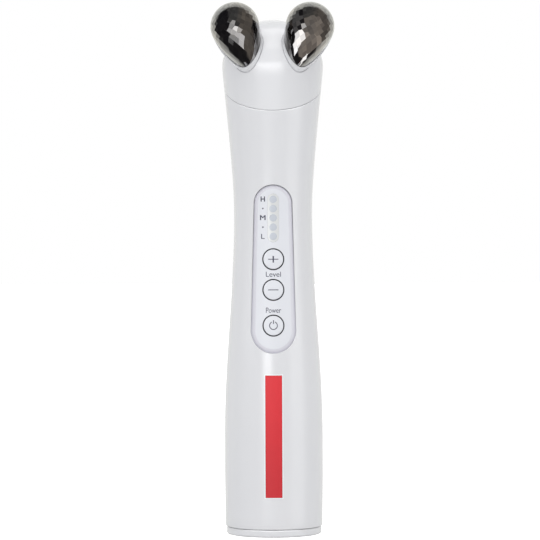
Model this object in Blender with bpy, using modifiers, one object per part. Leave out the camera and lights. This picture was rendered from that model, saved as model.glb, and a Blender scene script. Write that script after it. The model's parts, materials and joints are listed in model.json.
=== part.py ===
# Handheld EMS facial device with two faceted rollers, standing on its base cap.
# Metres, +Z up, control panel towards -Y, origin in the middle of the base.

import math

import bmesh
import bpy
from mathutils import Matrix, Vector

# Handle and head outline, with heights as shares of the height of the dome's foot
head_height = 0.1700
head_radius = 0.0185
dome_height = 0.0180
dome_blend = 0.0004
height_shares = {
    "belly_low": 0.1471,
    "belly_top": 0.1941,
    "waist": 0.6882,
    "panel_low": 0.3953,
    "power": 0.4535,
    "minus": 0.5296,
    "plus": 0.5949,
    "window": 0.6831,
    "panel_high": 0.7548,
    "strip_low": 0.0862,
    "strip_high": 0.3474,
    "spine_high": 0.8471,
    "top_screw": 0.8118,
    "transformer": 0.6824,
    "chip": 0.4882,
}
belly_low = head_height * height_shares["belly_low"]
belly_top = head_height * height_shares["belly_top"]
waist_height = head_height * height_shares["waist"]
seam_drop = 0.0069
seam_height = head_height - seam_drop
belly_radius = 0.0180
foot_step = 0.0002
foot_radius = belly_radius - foot_step
waist_radius = 0.01426
shoulder_radius = 0.01773
flare_reach = 0.0160
wall = 0.0020
ring_pitch = 0.0100
seam_tilt = math.radians(25.3)

# Gaps between neighbours
seam_gap = 0.0002
fit_gap = 0.0003
running_gap = 0.00015
overrun = 0.0020
weld = 0.00001
reach = 0.0600

# Rollers and their cups
roller_radius = 0.00885
roller_length = 0.0248
roller_end_radius = 0.0026
roller_bulge_radius = 0.0380
roller_skin = 0.0013
roller_facets = 24
facet_lead_share = 0.88
roller_axis_shares = (0.372, -0.268, 1)
roller_place_shares = (0.4420, -0.7135)
roller_rise = 0.0009
hub_depth = 0.0085
cup_gap = 0.0004
cup_wall = 0.0008
rim_crossing = 0.0034
rim_rake = math.radians(21)
rim_splay = math.radians(-2)

# Axles
axle_radius = 0.00125
sleeve_wall = 0.0011
sleeve_radius = axle_radius + running_gap + sleeve_wall
sleeve_base = 0.0004
sleeve_recess = 0.0042
sleeve_top = roller_length - sleeve_recess
axle_recess = 0.0013
axle_top = sleeve_top - axle_recess
axle_shoulder = 0.00055
axle_shoulder_length = 0.0005
boss_wall = 0.0012
boss_radius = axle_radius + running_gap + boss_wall
boss_top = -0.0056
boss_length = 0.0070
boss_bottom = boss_top - boss_length
axle_tail = 0.0022
axle_bottom = boss_bottom - axle_tail
seal_wall = 0.0007
seal_radius = axle_radius + running_gap + seal_wall
tag_wall = 0.0009
tag_radius = axle_radius + running_gap + tag_wall
tag_thickness = 0.0004
clip_lip = 0.00095
clip_radius = axle_radius + clip_lip
clip_thickness = 0.0006
groove_depth = 0.0003

# Head frame
spigot_length = 0.0035
web_height = 0.0042
frame_wall = 0.0016
wire_hole_radius = 0.0035
head_screw_x = 0.0080
head_screw_back = 0.0060
screw_boss_share = 0.817

# Screws
screw_radius = 0.0009
screw_boss_wall = 0.00115
screw_boss_radius = screw_radius + running_gap + screw_boss_wall
screw_head_lip = 0.0010
screw_head_radius = screw_radius + screw_head_lip
screw_head_height = 0.0013
screw_length = 0.0070

# Control panel
panel_low = head_height * height_shares["panel_low"]
panel_high = head_height * height_shares["panel_high"]
panel_low_radius = 0.0082
panel_high_radius = 0.0070
panel_recess = 0.0005
panel_thickness = 0.0012
panel_axis_shift = 0.0050
floor_thickness = 0.0014
floor_margin = 0.0016

# Level window and lamps
window_height = head_height * height_shares["window"]
lens_count = 5
lens_pitch = 0.00336
lens_radius = 0.0013
lens_length = 0.0026
window_margin = 0.0008
window_radius = lens_radius + window_margin
window_length = lens_pitch * (lens_count - 1) + 2 * window_radius
led_size = 0.0016
led_height = 0.0008
shield_bore = 0.0012
shield_wall = 0.0006
shield_radius = shield_bore + shield_wall

# Buttons and switches
plus_height = head_height * height_shares["plus"]
minus_height = head_height * height_shares["minus"]
power_height = head_height * height_shares["power"]
button_radius = 0.00358
button_gap = 0.00042
button_hole = button_radius + button_gap
button_crown = 0.00012
button_edge = 0.0003
button_travel = 0.0004
flange_lip = 0.0005
flange_radius = button_hole + flange_lip
flange_thickness = 0.0007
flange_seat = 0.0002
plunger_radius = 0.0014
switch_size = 0.0044
switch_height = 0.0018
switch_pin_radius = 0.0009
switch_pin_height = 0.0005

# Base cap and charging
cap_height = 0.0027
cap_step = 0.00065
cap_radius = belly_radius - cap_step
cap_floor = 0.0020
cap_edge = 0.0008
cap_spigot_length = 0.0058
cap_spigot_top = cap_height + cap_spigot_length
cap_spigot_wall = 0.0015
base_seal_radius = 0.0005
base_seal_rise = 0.0041
base_seal_height = cap_height + base_seal_rise
charge_contact_x = 0.0050
charge_contact_radius = 0.0014
charge_contact_length = 0.0040
charge_flange_lip = 0.0006
charge_flange_radius = charge_contact_radius + charge_flange_lip
charge_flange_thickness = 0.0006
charge_board_inset = 0.0020
charge_board_height = cap_floor + charge_contact_length + seam_gap
charge_board_thickness = 0.0010

# Battery, cradle and leads
battery_radius = 0.0071
battery_length = 0.0500
battery_edge = 0.0006
battery_y = 0.0020
terminal_radius = 0.0025
terminal_height = 0.0008
cradle_wall = 0.0014
cradle_rise = 0.0011
cradle_mouth = 0.0013
cradle_low = cap_spigot_top + cradle_rise
battery_low = cradle_low + cradle_wall + fit_gap
battery_high = battery_low + battery_length
cradle_high = battery_high + terminal_height + fit_gap + cradle_wall
lead_radius = 0.0005
lead_clear = lead_radius + fit_gap
cable_radius = 0.0008
lead_run_in = 0.0040
electrode_lead_x = 0.0042
back_run_margin = 0.0038
back_run_y = belly_radius - wall - back_run_margin

# Main board
board_depth = 0.0076
board_thickness = 0.0010
board_width = 0.0140
board_rise = 0.0022
board_low = cradle_high + seam_gap
board_high = panel_high + board_rise
lead_pad_rise = 0.0080
lead_pad_height = board_low + lead_pad_rise
cable_pad_rise = 0.0140
cable_pad_height = board_low + cable_pad_rise
chip_size = 0.0050
chip_height = 0.0009
chip_height_at = head_height * height_shares["chip"]
transformer_width = 0.0080
transformer_length = 0.0090
transformer_depth = 0.0062
transformer_height_at = head_height * height_shares["transformer"]

# Inner frame
spine_width = 0.0130
spine_thickness = 0.0015
spine_standoff = 0.0020
spine_foot = 0.0100
spine_low = board_low - spine_foot
spine_high = head_height * height_shares["spine_high"]
post_radius = 0.0012
top_screw_height = head_height * height_shares["top_screw"]
crossbar_rise = 0.0104
crossbar_height = cradle_low + crossbar_rise
crossbar_width = 0.0060
crossbar_thickness = 0.0016
crossbar_margin = 0.0020
crossbar_reach = belly_radius - wall - crossbar_margin
low_screw_inset = 0.0028
low_screw_x = crossbar_reach - low_screw_inset

# Red strip
strip_low = head_height * height_shares["strip_low"]
strip_high = head_height * height_shares["strip_high"]
strip_width = 0.0061
strip_depth = 0.0005

sides = {-1: "left", 1: "right"}


def clear_objects():
    for item in list(bpy.data.objects):
        bpy.data.objects.remove(item, do_unlink=True)


def new_group(name):
    group = bpy.data.collections.new(name)
    bpy.context.scene.collection.children.link(group)
    return group


clear_objects()
parts = new_group("ems_facial_device")
cutters = new_group("cutters")

# colour, roughness, metallic
finishes = {
    "white_shell": ((0.78, 0.78, 0.79), 0.35, 0.0),
    "panel_white": ((0.80, 0.81, 0.84), 0.30, 0.0),
    "red_inlay": ((0.72, 0.05, 0.06), 0.45, 0.0),
    "dark_chrome": ((0.30, 0.28, 0.27), 0.08, 1.0),
    "steel": ((0.60, 0.60, 0.60), 0.30, 1.0),
    "brass": ((0.75, 0.58, 0.25), 0.30, 1.0),
    "frame_grey": ((0.35, 0.36, 0.38), 0.50, 0.0),
    "rubber": ((0.05, 0.05, 0.05), 0.80, 0.0),
    "board_green": ((0.03, 0.22, 0.10), 0.50, 0.0),
    "chip_black": ((0.04, 0.04, 0.05), 0.40, 0.0),
    "lamp_pale": ((0.62, 0.66, 0.73), 0.25, 0.0),
    "window_pale": ((0.74, 0.75, 0.74), 0.35, 0.0),
    "battery_blue": ((0.08, 0.16, 0.40), 0.45, 0.0),
    "ferrite_grey": ((0.12, 0.12, 0.13), 0.60, 0.0),
    "lead_red": ((0.50, 0.03, 0.03), 0.55, 0.0),
    "lead_black": ((0.02, 0.02, 0.02), 0.55, 0.0),
}


def paint(item, finish):
    colour, roughness, metallic = finishes[finish]
    material = bpy.data.materials.new(item.name)
    material.use_nodes = True
    shader = material.node_tree.nodes["Principled BSDF"]
    shader.inputs["Base Color"].default_value = (*colour, 1)
    shader.inputs["Roughness"].default_value = roughness
    shader.inputs["Metallic"].default_value = metallic
    item.data.materials.append(material)
    return item


def add_item(name, mesh, group, place):
    item = bpy.data.objects.new(name, mesh)
    group.objects.link(item)
    item.matrix_world = place
    if group is cutters:
        item.hide_render = True
        item.display_type = "WIRE"
    return item


def from_bmesh(name, shape, group, place):
    mesh = bpy.data.meshes.new(name)
    shape.to_mesh(mesh)
    shape.free()
    return add_item(name, mesh, group, place)


def box(name, low, high, group, place=Matrix()):
    low, high = Vector(low), Vector(high)
    shape = bmesh.new()
    bmesh.ops.create_cube(shape, size=1)
    bmesh.ops.scale(shape, verts=shape.verts, vec=high - low)
    bmesh.ops.translate(shape, verts=shape.verts, vec=(low + high) / 2)
    return from_bmesh(name, shape, group, place)


def rod(name, radius, low, high, group, place=Matrix(), centre=(0, 0), facets=16):
    shape = bmesh.new()
    bmesh.ops.create_cone(
        shape, cap_ends=True, segments=facets, radius1=radius, radius2=radius, depth=high - low
    )
    middle = Vector((centre[0], centre[1], (low + high) / 2))
    bmesh.ops.translate(shape, verts=shape.verts, vec=middle)
    return from_bmesh(name, shape, group, place)


def turned(name, profile, group, place=Matrix(), facets=24, ring=False):
    """Profile of (radius, height) points, top to bottom down the outer side."""
    mesh = bpy.data.meshes.new(name)
    edges = [(i, i + 1) for i in range(len(profile) - 1)]
    if ring:
        edges.append((len(profile) - 1, 0))
    mesh.from_pydata([(radius, 0, height) for radius, height in profile], edges, [])
    item = add_item(name, mesh, group, place)
    screw = item.modifiers.new("turn", "SCREW")
    screw.steps = facets
    screw.render_steps = facets
    screw.use_merge_vertices = True
    screw.merge_threshold = weld
    return item


def prism(name, outline, half_depth, group, place=Matrix()):
    """Flat outline in the place's XY plane, pushed out to both sides."""
    curve = bpy.data.curves.new(name, "CURVE")
    curve.dimensions = "2D"
    curve.fill_mode = "BOTH"
    curve.extrude = half_depth
    spline = curve.splines.new("POLY")
    spline.points.add(len(outline) - 1)
    for point, (x, y) in zip(spline.points, outline):
        point.co = (x, y, 0, 1)
    spline.use_cyclic_u = True
    return from_curve(name, curve, group, place)


def from_curve(name, curve, group, place):
    holder = bpy.data.objects.new(name + "_curve", curve)
    bpy.context.scene.collection.objects.link(holder)
    graph = bpy.context.evaluated_depsgraph_get()
    mesh = bpy.data.meshes.new_from_object(holder.evaluated_get(graph))
    bpy.data.objects.remove(holder, do_unlink=True)
    mesh.name = name
    shape = bmesh.new()
    shape.from_mesh(mesh)
    bmesh.ops.remove_doubles(shape, verts=shape.verts, dist=weld)
    bmesh.ops.recalc_face_normals(shape, faces=shape.faces)
    shape.to_mesh(mesh)
    shape.free()
    return add_item(name, mesh, group, place)


def wire(name, points, radius, group):
    curve = bpy.data.curves.new(name, "CURVE")
    curve.dimensions = "3D"
    curve.bevel_depth = radius
    curve.bevel_resolution = 2
    curve.use_fill_caps = True
    spline = curve.splines.new("POLY")
    spline.points.add(len(points) - 1)
    for point, place in zip(spline.points, points):
        point.co = (*place, 1)
    return from_curve(name, curve, group, Matrix())


def combine(item, operation, *others):
    for other in others:
        step = item.modifiers.new(other.name, "BOOLEAN")
        step.operation = operation
        step.solver = "EXACT"
        step.object = other
    return item


def cut(item, *others):
    return combine(item, "DIFFERENCE", *others)


def keep(item, *others):
    return combine(item, "INTERSECT", *others)


def join(item, *others):
    return combine(item, "UNION", *others)


# Outline of the handle and head

def ease(share):
    return share * share * (3 - 2 * share)


def clamp(value):
    return min(max(value, 0), 1)


def smooth_min(first, second, blend):
    near = max(blend - abs(first - second), 0) / blend
    return min(first, second) - near * near * blend / 4


def handle_radius(height):
    if height > waist_height:
        flare = math.hypot(height - waist_height, flare_reach) - flare_reach
        shoulder = math.hypot(seam_height - waist_height, flare_reach) - flare_reach
        return waist_radius + (shoulder_radius - waist_radius) * flare / shoulder
    foot = ease(clamp(height / belly_low))
    taper = ease(clamp((height - belly_top) / (waist_height - belly_top)))
    lower = foot_radius + (belly_radius - foot_radius) * foot
    return lower + (waist_radius - belly_radius) * taper


def dome_radius(height, inset):
    rise = max(height - head_height, 0) / (dome_height - inset)
    return (head_radius - inset) * math.sqrt(max(1 - rise * rise, 0))


def body_radius(height, inset=0):
    """Outer radius of the device at a height, less an even inset."""
    return smooth_min(handle_radius(height) - inset, dome_radius(height, inset), dome_blend)


def body_slope(height):
    step = ring_pitch / 8
    return (body_radius(height + step) - body_radius(height - step)) / (2 * step)


def steps_between(high, low, pitch):
    count = max(round((high - low) / pitch), 1)
    return [high + (low - high) * i / count for i in range(count + 1)]


def side_profile(low, high, inset=0, pitch=ring_pitch):
    return [(body_radius(height, inset), height) for height in steps_between(high, low, pitch)]


def dome_profile(low, inset, rings=9):
    """From the dome's tip down to a height, closed on the axis at both ends."""
    tip = dome_height - inset
    heights = [head_height + tip * math.cos(math.pi / 2 * i / rings) for i in range(rings)]
    crown = [(0, heights[0])] + [(body_radius(height, inset), height) for height in heights[1:]]
    return crown + side_profile(low, head_height, inset, ring_pitch / 2) + [(0, low)]


def core(name, low, high, inset, facets=40):
    """Solid that fills the device, inset from its outside, between two heights."""
    profile = [(0, high)] + side_profile(low, high, inset) + [(0, low)]
    return turned(name, profile, cutters, facets=facets)


def skin(name, low, high, shift, outer, inner, pitch=ring_pitch / 2, facets=60):
    """Ring about a line behind the middle, between two depths under the outline."""
    heights = steps_between(high, low, pitch)
    outside = [(body_radius(height) - outer + shift, height) for height in heights]
    inside = [(body_radius(height) - inner + shift, height) for height in reversed(heights)]
    place = Matrix.Translation((0, shift, 0))
    return turned(name, outside + inside, cutters, place, facets, ring=True)


# Frames of reference

seam_frame = Matrix.Translation((0, 0, seam_height)) @ Matrix.Rotation(seam_tilt, 4, "X")


def panel_frame(height):
    """On the panel's face at a height, local Z outward and local Y up the panel."""
    tilt = math.atan(-body_slope(height))
    face = Matrix.Translation((0, panel_recess - body_radius(height), height))
    return face @ Matrix.Rotation(math.pi / 2 - tilt, 4, "X")


def up_panel(height):
    """Distance up the board's own plane to a height."""
    return (height - minus_height) * math.hypot(1, body_slope(minus_height))


board_frame = panel_frame(minus_height)


def roller_frame(side):
    """At the roller's narrow end, local Z out along its axis and local Y to the front."""
    splay, lean, rise = roller_axis_shares
    axis = Vector((side * splay, lean, rise)).normalized()
    front = Vector((0, -1, 0))
    front = (front - axis * front.dot(axis)).normalized()
    turn = Matrix((front.cross(axis), front, axis)).transposed()
    out, ahead = roller_place_shares
    place = Vector((side * head_radius * out, head_radius * ahead, head_height + roller_rise))
    return Matrix.Translation(place) @ turn.to_4x4()


def rim_frame(side):
    """On the plane that trims a cup, local Z to the open front."""
    tilt = Matrix.Rotation(math.pi / 2 - rim_rake, 4, "X")
    splay = Matrix.Rotation(side * rim_splay, 4, "Z")
    return roller_frame(side) @ Matrix.Translation((0, 0, rim_crossing)) @ splay @ tilt.inverted()


def slab(name, frame, low, high):
    return box(name, (-reach, -reach, low), (reach, reach, high), cutters, frame)


# Roller outline: an end plane, a bulging flank and a round wide end

def bulge_centre():
    """Centre of the flank's arc: through the narrow rim, tangent to the wide end."""
    wide_centre = roller_length - roller_radius
    near = roller_bulge_radius
    far = roller_bulge_radius - roller_radius
    span = math.hypot(wide_centre, roller_end_radius)
    along = (near * near - far * far + span * span) / (2 * span)
    across = math.sqrt(near * near - along * along)
    ux, uy = wide_centre / span, -roller_end_radius / span
    return (along * ux + across * uy, roller_end_radius + along * uy - across * ux)


flank_u, flank_r = bulge_centre()
wide_u = roller_length - roller_radius
tangent_turn = math.atan2(-flank_r, wide_u - flank_u)
tangent_u = wide_u + roller_radius * math.cos(tangent_turn)


def roller_outline(u, offset=0):
    """Roller radius at a distance along its axis, with an even offset."""
    edge = wide_u + (roller_radius + offset) * math.cos(tangent_turn)
    if u > edge:
        inside = (roller_radius + offset) ** 2 - (u - wide_u) ** 2
        return math.sqrt(max(inside, 0))
    return flank_r + math.sqrt((roller_bulge_radius + offset) ** 2 - (u - flank_u) ** 2)


def drop_profile(offset, rings=8):
    """Offset drop, from its wide tip down to its flat narrow end."""
    low, high = -offset, roller_length + offset
    middle, half = (low + high) / 2, (high - low) / 2
    heights = [middle + half * math.cos(math.pi * i / (2 * rings)) for i in range(1, rings)]
    lower = steps_between(heights[-1], low, half / rings * 2)[1:]
    rim = [(roller_outline(height, offset), height) for height in heights + lower]
    return [(0, high)] + rim + [(0, low)]


def drop(name, side, offset, facets=20):
    return turned(name, drop_profile(offset), cutters, roller_frame(side), facets)


# Faceted roller shells

def facet_rings():
    """Heights of staggered rings whose neighbours make flat four-sided facets."""
    turn = math.cos(math.pi / roller_facets)
    first = math.sqrt(2 * roller_end_radius * (1 - turn) * roller_bulge_radius) * facet_lead_share
    rings = [0, first]
    while True:
        low, here = rings[-2], rings[-1]
        low_r, here_r = roller_outline(low), roller_outline(here)

        def miss(height):
            lift = (height - low) / (here - low)
            return low_r + (here_r * turn - low_r) * lift - roller_outline(height)

        start, end = here, roller_length
        if miss(end) < 0 or here_r < roller_radius / 3:
            return rings
        for _ in range(40):
            middle = (start + end) / 2
            if miss(middle) < 0:
                start = middle
            else:
                end = middle
        rings.append((start + end) / 2)


def faceted_drop(name, place):
    shape = bmesh.new()
    rings = facet_rings()
    for number, height in enumerate(rings):
        radius = roller_outline(height)
        for i in range(roller_facets):
            angle = 2 * math.pi * (i + number % 2 / 2) / roller_facets
            shape.verts.new((radius * math.cos(angle), radius * math.sin(angle), height))
    bmesh.ops.convex_hull(shape, input=shape.verts)
    flat = math.radians(0.5)
    bmesh.ops.dissolve_limit(shape, angle_limit=flat, verts=shape.verts, edges=shape.edges)
    bmesh.ops.recalc_face_normals(shape, faces=shape.faces)
    return from_bmesh(name, shape, parts, place)


def roller_void(side):
    """Bore at the narrow end, a hollow, and a hub left standing at the wide end."""
    bore = sleeve_radius + running_gap
    hub = bore + roller_skin
    top = roller_length - 2 * roller_skin
    hub_low = top - hub_depth
    hollow_top = wide_u + math.sqrt((roller_radius - 2 * roller_skin) ** 2 - hub * hub)
    hollow_low = hub_low / 3
    flank = [
        (roller_outline(height) - roller_skin, height)
        for height in steps_between(hollow_top, hollow_low, roller_length / 5)
    ]
    high = sleeve_top + fit_gap
    profile = [(0, high), (bore, high), (bore, hub_low), (hub, hub_low), (hub, hollow_top)]
    profile += flank[1:] + [(bore, hollow_low), (bore, -overrun), (0, -overrun)]
    return turned(f"roller_void_{sides[side]}", profile, cutters, roller_frame(side), 16)


def make_roller(side):
    roller = faceted_drop(f"roller_{sides[side]}", roller_frame(side))
    return paint(cut(roller, roller_void(side)), "dark_chrome")


def make_sleeve(side):
    bore = axle_radius + running_gap
    high, low = sleeve_top, sleeve_base
    profile = [(sleeve_radius, high), (sleeve_radius, low), (bore, low), (bore, high)]
    name = f"roller_sleeve_{sides[side]}"
    return paint(turned(name, profile, parts, roller_frame(side), 16, ring=True), "frame_grey")


def make_axle(side):
    """Pin with a shoulder on the boss, and a groove for its clip below."""
    neck = axle_radius - groove_depth
    groove_high = boss_bottom - tag_thickness - 2 * fit_gap
    groove_low = groove_high - clip_thickness - 2 * running_gap
    shoulder_low = boss_top + running_gap
    shoulder_high = shoulder_low + axle_shoulder_length
    profile = [
        (0, axle_top),
        (axle_radius, axle_top),
        (axle_radius, shoulder_high),
        (axle_radius + axle_shoulder, shoulder_high),
        (axle_radius + axle_shoulder, shoulder_low),
        (axle_radius, shoulder_low),
        (axle_radius, groove_high),
        (neck, groove_high),
        (neck, groove_low),
        (axle_radius, groove_low),
        (axle_radius, axle_bottom),
        (0, axle_bottom),
    ]
    return paint(turned(f"axle_{sides[side]}", profile, parts, roller_frame(side), 12), "steel")


def make_axle_seal(side):
    """Rubber ring in the hole through the cup's floor."""
    floor = -cup_gap
    bore = axle_radius + running_gap
    low = floor - cup_wall
    profile = [(seal_radius, floor), (seal_radius, low), (bore, low), (bore, floor)]
    seal = turned(f"axle_seal_{sides[side]}", profile, parts, roller_frame(side), 16, ring=True)
    return paint(seal, "rubber")


def make_contact_tag(side):
    """Brass ring under the boss, with a tail for its lead."""
    high = boss_bottom - running_gap
    low = high - tag_thickness
    bore = axle_radius + running_gap
    name = f"contact_tag_{sides[side]}"
    tag = rod(name, tag_radius, low, high, parts, roller_frame(side))
    tail_low = (-tag_radius / 2, -tag_radius * 2, low)
    tail_high = (tag_radius / 2, -bore, high)
    tail = box(name + "_tail", tail_low, tail_high, cutters, roller_frame(side))
    hole = rod(name + "_hole", bore, low - overrun, high + overrun, cutters, roller_frame(side))
    return paint(cut(join(tag, tail), hole), "brass")


def make_axle_clip(side):
    """Open ring in the axle's groove."""
    high = boss_bottom - tag_thickness - 2 * fit_gap - running_gap
    low = high - clip_thickness
    bore = axle_radius - groove_depth + running_gap
    name = f"axle_clip_{sides[side]}"
    clip = rod(name, clip_radius, low, high, parts, roller_frame(side))
    hole = rod(name + "_hole", bore, low - overrun, high + overrun, cutters, roller_frame(side))
    mouth_low = (-bore * 2 / 3, 0, low - overrun)
    mouth_high = (bore * 2 / 3, clip_radius + overrun, high + overrun)
    mouth = box(name + "_mouth", mouth_low, mouth_high, cutters, roller_frame(side))
    return paint(cut(clip, hole, mouth), "steel")


# Head cover and its frame

def cup_solid(side, name, trimmed):
    cup = drop(name, side, cup_gap + cup_wall)
    if trimmed:
        cut(cup, slab(name + "_rim", rim_frame(side), 0, reach))
    return cup


def head_screw_spot(side):
    return (side * head_screw_x, head_screw_back)


def make_head_cover():
    low = seam_height - 2 * ring_pitch
    cover = turned("head_cover", dome_profile(low, 0), parts, facets=40)
    cavity = turned("head_cavity", dome_profile(low - overrun, wall, 6), cutters, facets=32)
    for side in sides:
        join(cover, cup_solid(side, f"cup_outside_{sides[side]}", True))
        cut(cavity, cup_solid(side, f"cup_wall_{sides[side]}", False))
    cut(cover, cavity)
    base = web_height + fit_gap
    top = (head_height + dome_height - seam_height) * screw_boss_share
    for side in sides:
        spot = head_screw_spot(side)
        name = f"head_boss_{sides[side]}"
        boss = rod(name, screw_boss_radius, base, top, cutters, seam_frame, spot, 12)
        join(cover, boss)
    cut(cover, slab("below_head", seam_frame, -reach, seam_gap / 2))
    for side in sides:
        name = sides[side]
        place = roller_frame(side)
        cut(cover, drop(f"cup_inside_{name}", side, cup_gap))
        bore = seal_radius + running_gap
        low = -cup_gap - cup_wall - overrun
        cut(cover, rod(f"seal_hole_{name}", bore, low, 0, cutters, place))
        bore = screw_radius + running_gap
        low, high = base - overrun, base + screw_length
        tap = rod(f"head_tap_{name}", bore, low, high, cutters, seam_frame, head_screw_spot(side), 12)
        cut(cover, tap)
    return paint(cover, "white_shell")


def make_head_frame():
    """Ring that plugs the head into the handle, with a web and two axle bosses."""
    low = seam_height - 3 * ring_pitch
    high = seam_height + 2 * ring_pitch
    profile = [(0, high)] + side_profile(low, high, wall + fit_gap) + [(0, low)]
    frame = turned("head_frame", profile, parts, facets=32)
    inside = core("head_frame_inside", low - overrun, high + overrun, wall + fit_gap + frame_wall, 32)
    cut(inside, slab("above_web", seam_frame, web_height - frame_wall, reach))
    cut(frame, slab("above_frame", seam_frame, web_height, reach))
    cut(frame, slab("below_frame", seam_frame, -reach, -spigot_length), inside)
    for side in sides:
        name = sides[side]
        place = roller_frame(side)
        boss = rod(f"axle_boss_{name}", boss_radius, boss_bottom, boss_top, cutters, place)
        keep(boss, core(f"boss_limit_{name}", low, high + overrun, wall + fit_gap, 32))
        join(frame, boss)
    for side in sides:
        name = sides[side]
        place = roller_frame(side)
        bore = axle_radius + running_gap
        low, high = boss_bottom - overrun, boss_top + overrun
        cut(frame, rod(f"axle_hole_{name}", bore, low, high, cutters, place))
        bore = screw_radius + fit_gap
        high = web_height + overrun
        hole = rod(f"head_pass_{name}", bore, 0, high, cutters, seam_frame, head_screw_spot(side), 12)
        cut(frame, hole)
    high = web_height + overrun
    wires = rod("wire_hole", wire_hole_radius, 0, high, cutters, seam_frame, facets=16)
    return paint(cut(frame, wires), "frame_grey")


def screw(name, place, head_at, length=screw_length):
    """Pan-head screw: head below a height on the place's Z, shaft pointing up."""
    edge = screw_head_height / 3
    profile = [
        (0, head_at + length),
        (screw_radius / 3, head_at + length),
        (screw_radius, head_at + length - screw_radius),
        (screw_radius, head_at),
        (screw_head_radius, head_at),
        (screw_head_radius, head_at - screw_head_height + edge),
        (screw_head_radius - edge, head_at - screw_head_height),
        (0, head_at - screw_head_height),
    ]
    return paint(turned(name, profile, parts, place, 12), "steel")


def make_head_screws():
    head_at = web_height - frame_wall - running_gap
    for side in sides:
        x, y = head_screw_spot(side)
        place = seam_frame @ Matrix.Translation((x, y, 0))
        screw(f"head_screw_{sides[side]}", place, head_at)


# Control panel and what shows in it

def capsule(low, high, low_radius, high_radius, grow=0, steps=10):
    """Outline of two unlike round ends and the straight sides that touch both."""
    low_centre, high_centre = low + low_radius, high - high_radius
    lean = math.asin((low_radius - high_radius) / (high_centre - low_centre))
    points = []
    for centre, radius, start, sweep in (
        (high_centre, high_radius + grow, lean, math.pi - 2 * lean),
        (low_centre, low_radius + grow, math.pi - lean, math.pi + 2 * lean),
    ):
        for i in range(steps + 1):
            angle = start + sweep * i / steps
            points.append((radius * math.cos(angle), centre + radius * math.sin(angle)))
    return points


front_frame = Matrix.Rotation(math.pi / 2, 4, "X")


def panel_prism(name, grow):
    outline = capsule(panel_low, panel_high, panel_low_radius, panel_high_radius, grow)
    return prism(name, outline, reach, cutters, front_frame)


def panel_skin(name, outer, inner):
    margin = 2 * floor_margin
    return skin(name, panel_low - margin, panel_high + margin, panel_axis_shift, outer, inner)


def front_only(name):
    return box(name, (-reach, -reach, 0), (reach, 0, 3 * reach), cutters)


def into_part(item, name, finish):
    parts.objects.link(item)
    cutters.objects.unlink(item)
    item.name = name
    item.hide_render = False
    item.display_type = "TEXTURED"
    return paint(item, finish)


def window_prism(name, grow):
    half = window_length / 2
    outline = capsule(window_height - half, window_height + half, window_radius, window_radius, grow)
    return prism(name, outline, reach, cutters, front_frame)


def lens_heights():
    first = (lens_count - 1) / 2
    return [window_height + (first - i) * lens_pitch for i in range(lens_count)]


buttons = {"plus": plus_height, "minus": minus_height, "power": power_height}
floor_top = panel_recess + panel_thickness + seam_gap
floor_bottom = floor_top + floor_thickness
floor_depth = floor_bottom - panel_recess


def make_control_panel():
    back = panel_recess + panel_thickness
    panel = panel_skin("panel_sheet", panel_recess, back)
    keep(panel, panel_prism("panel_outline", 0), front_only("panel_front"))
    cut(panel, window_prism("window_slot", seam_gap))
    for name, height in buttons.items():
        low, high = -2 * overrun, overrun
        cut(panel, rod(f"{name}_panel_hole", button_hole, low, high, cutters, panel_frame(height)))
    return into_part(panel, "control_panel", "panel_white")


def make_level_window():
    window = panel_skin("window_sheet", panel_recess, panel_recess + panel_thickness)
    keep(window, window_prism("window_outline", 0), front_only("window_front"))
    for i, height in enumerate(lens_heights()):
        radius = lens_radius + seam_gap / 2
        place = front_frame
        hole = rod(f"lens_hole_{i}", radius, 0, reach, cutters, place, (0, height), 16)
        cut(window, hole)
    return into_part(window, "level_window", "window_pale")


def make_lenses():
    for i, height in enumerate(lens_heights()):
        place = Matrix.Translation((0, panel_recess - body_radius(height), height)) @ front_frame
        name = f"level_lens_{i + 1}"
        paint(rod(name, lens_radius, -lens_length, 0, parts, place, facets=16), "lamp_pale")


def make_button(name, height):
    """Cap with a low crown, a flange that holds it in, and a plunger to its switch."""
    flange_high = flange_seat - floor_depth - seam_gap
    flange_low = flange_high - flange_thickness
    switch_top = switch_pin_height + switch_height + seam_gap - board_depth
    pin = board_frame @ Vector((0, up_panel(height), switch_top))
    plunger_low = (panel_frame(height).inverted() @ pin).z + button_travel + running_gap
    profile = [
        (0, button_crown),
        (button_radius / 2, button_crown * 3 / 4),
        (button_radius - button_edge, 0),
        (button_radius, -button_edge),
        (button_radius, flange_high),
        (flange_radius, flange_high),
        (flange_radius, flange_low),
        (plunger_radius, flange_low),
        (plunger_radius, plunger_low),
        (0, plunger_low),
    ]
    return paint(turned(f"{name}_button", profile, parts, panel_frame(height), 20), "panel_white")


def make_switch(name, height):
    """Square switch body on the board, with a round pin under its button."""
    half = switch_size / 2
    y = up_panel(height)
    low = seam_gap - board_depth
    high = low + switch_height
    body = box(f"{name}_switch", (-half, y - half, low), (half, y + half, high), parts, board_frame)
    top = high + switch_pin_height
    place = board_frame @ Matrix.Translation((0, y, 0))
    pin = rod(f"{name}_switch_pin", switch_pin_radius, low + seam_gap, top, cutters, place, facets=12)
    return paint(join(body, pin), "chip_black")


def make_board():
    half = board_width / 2
    low, high = up_panel(board_low), up_panel(board_high)
    back = -board_depth - board_thickness
    board = box("main_board", (-half, low, back), (half, high, -board_depth), parts, board_frame)
    return paint(board, "board_green")


def make_leds():
    half = led_size / 2
    low = seam_gap - board_depth
    for i, height in enumerate(lens_heights()):
        y = up_panel(height)
        corners = (-half, y - half, low), (half, y + half, low + led_height)
        paint(box(f"level_led_{i + 1}", *corners, parts, board_frame), "lamp_pale")


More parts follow.
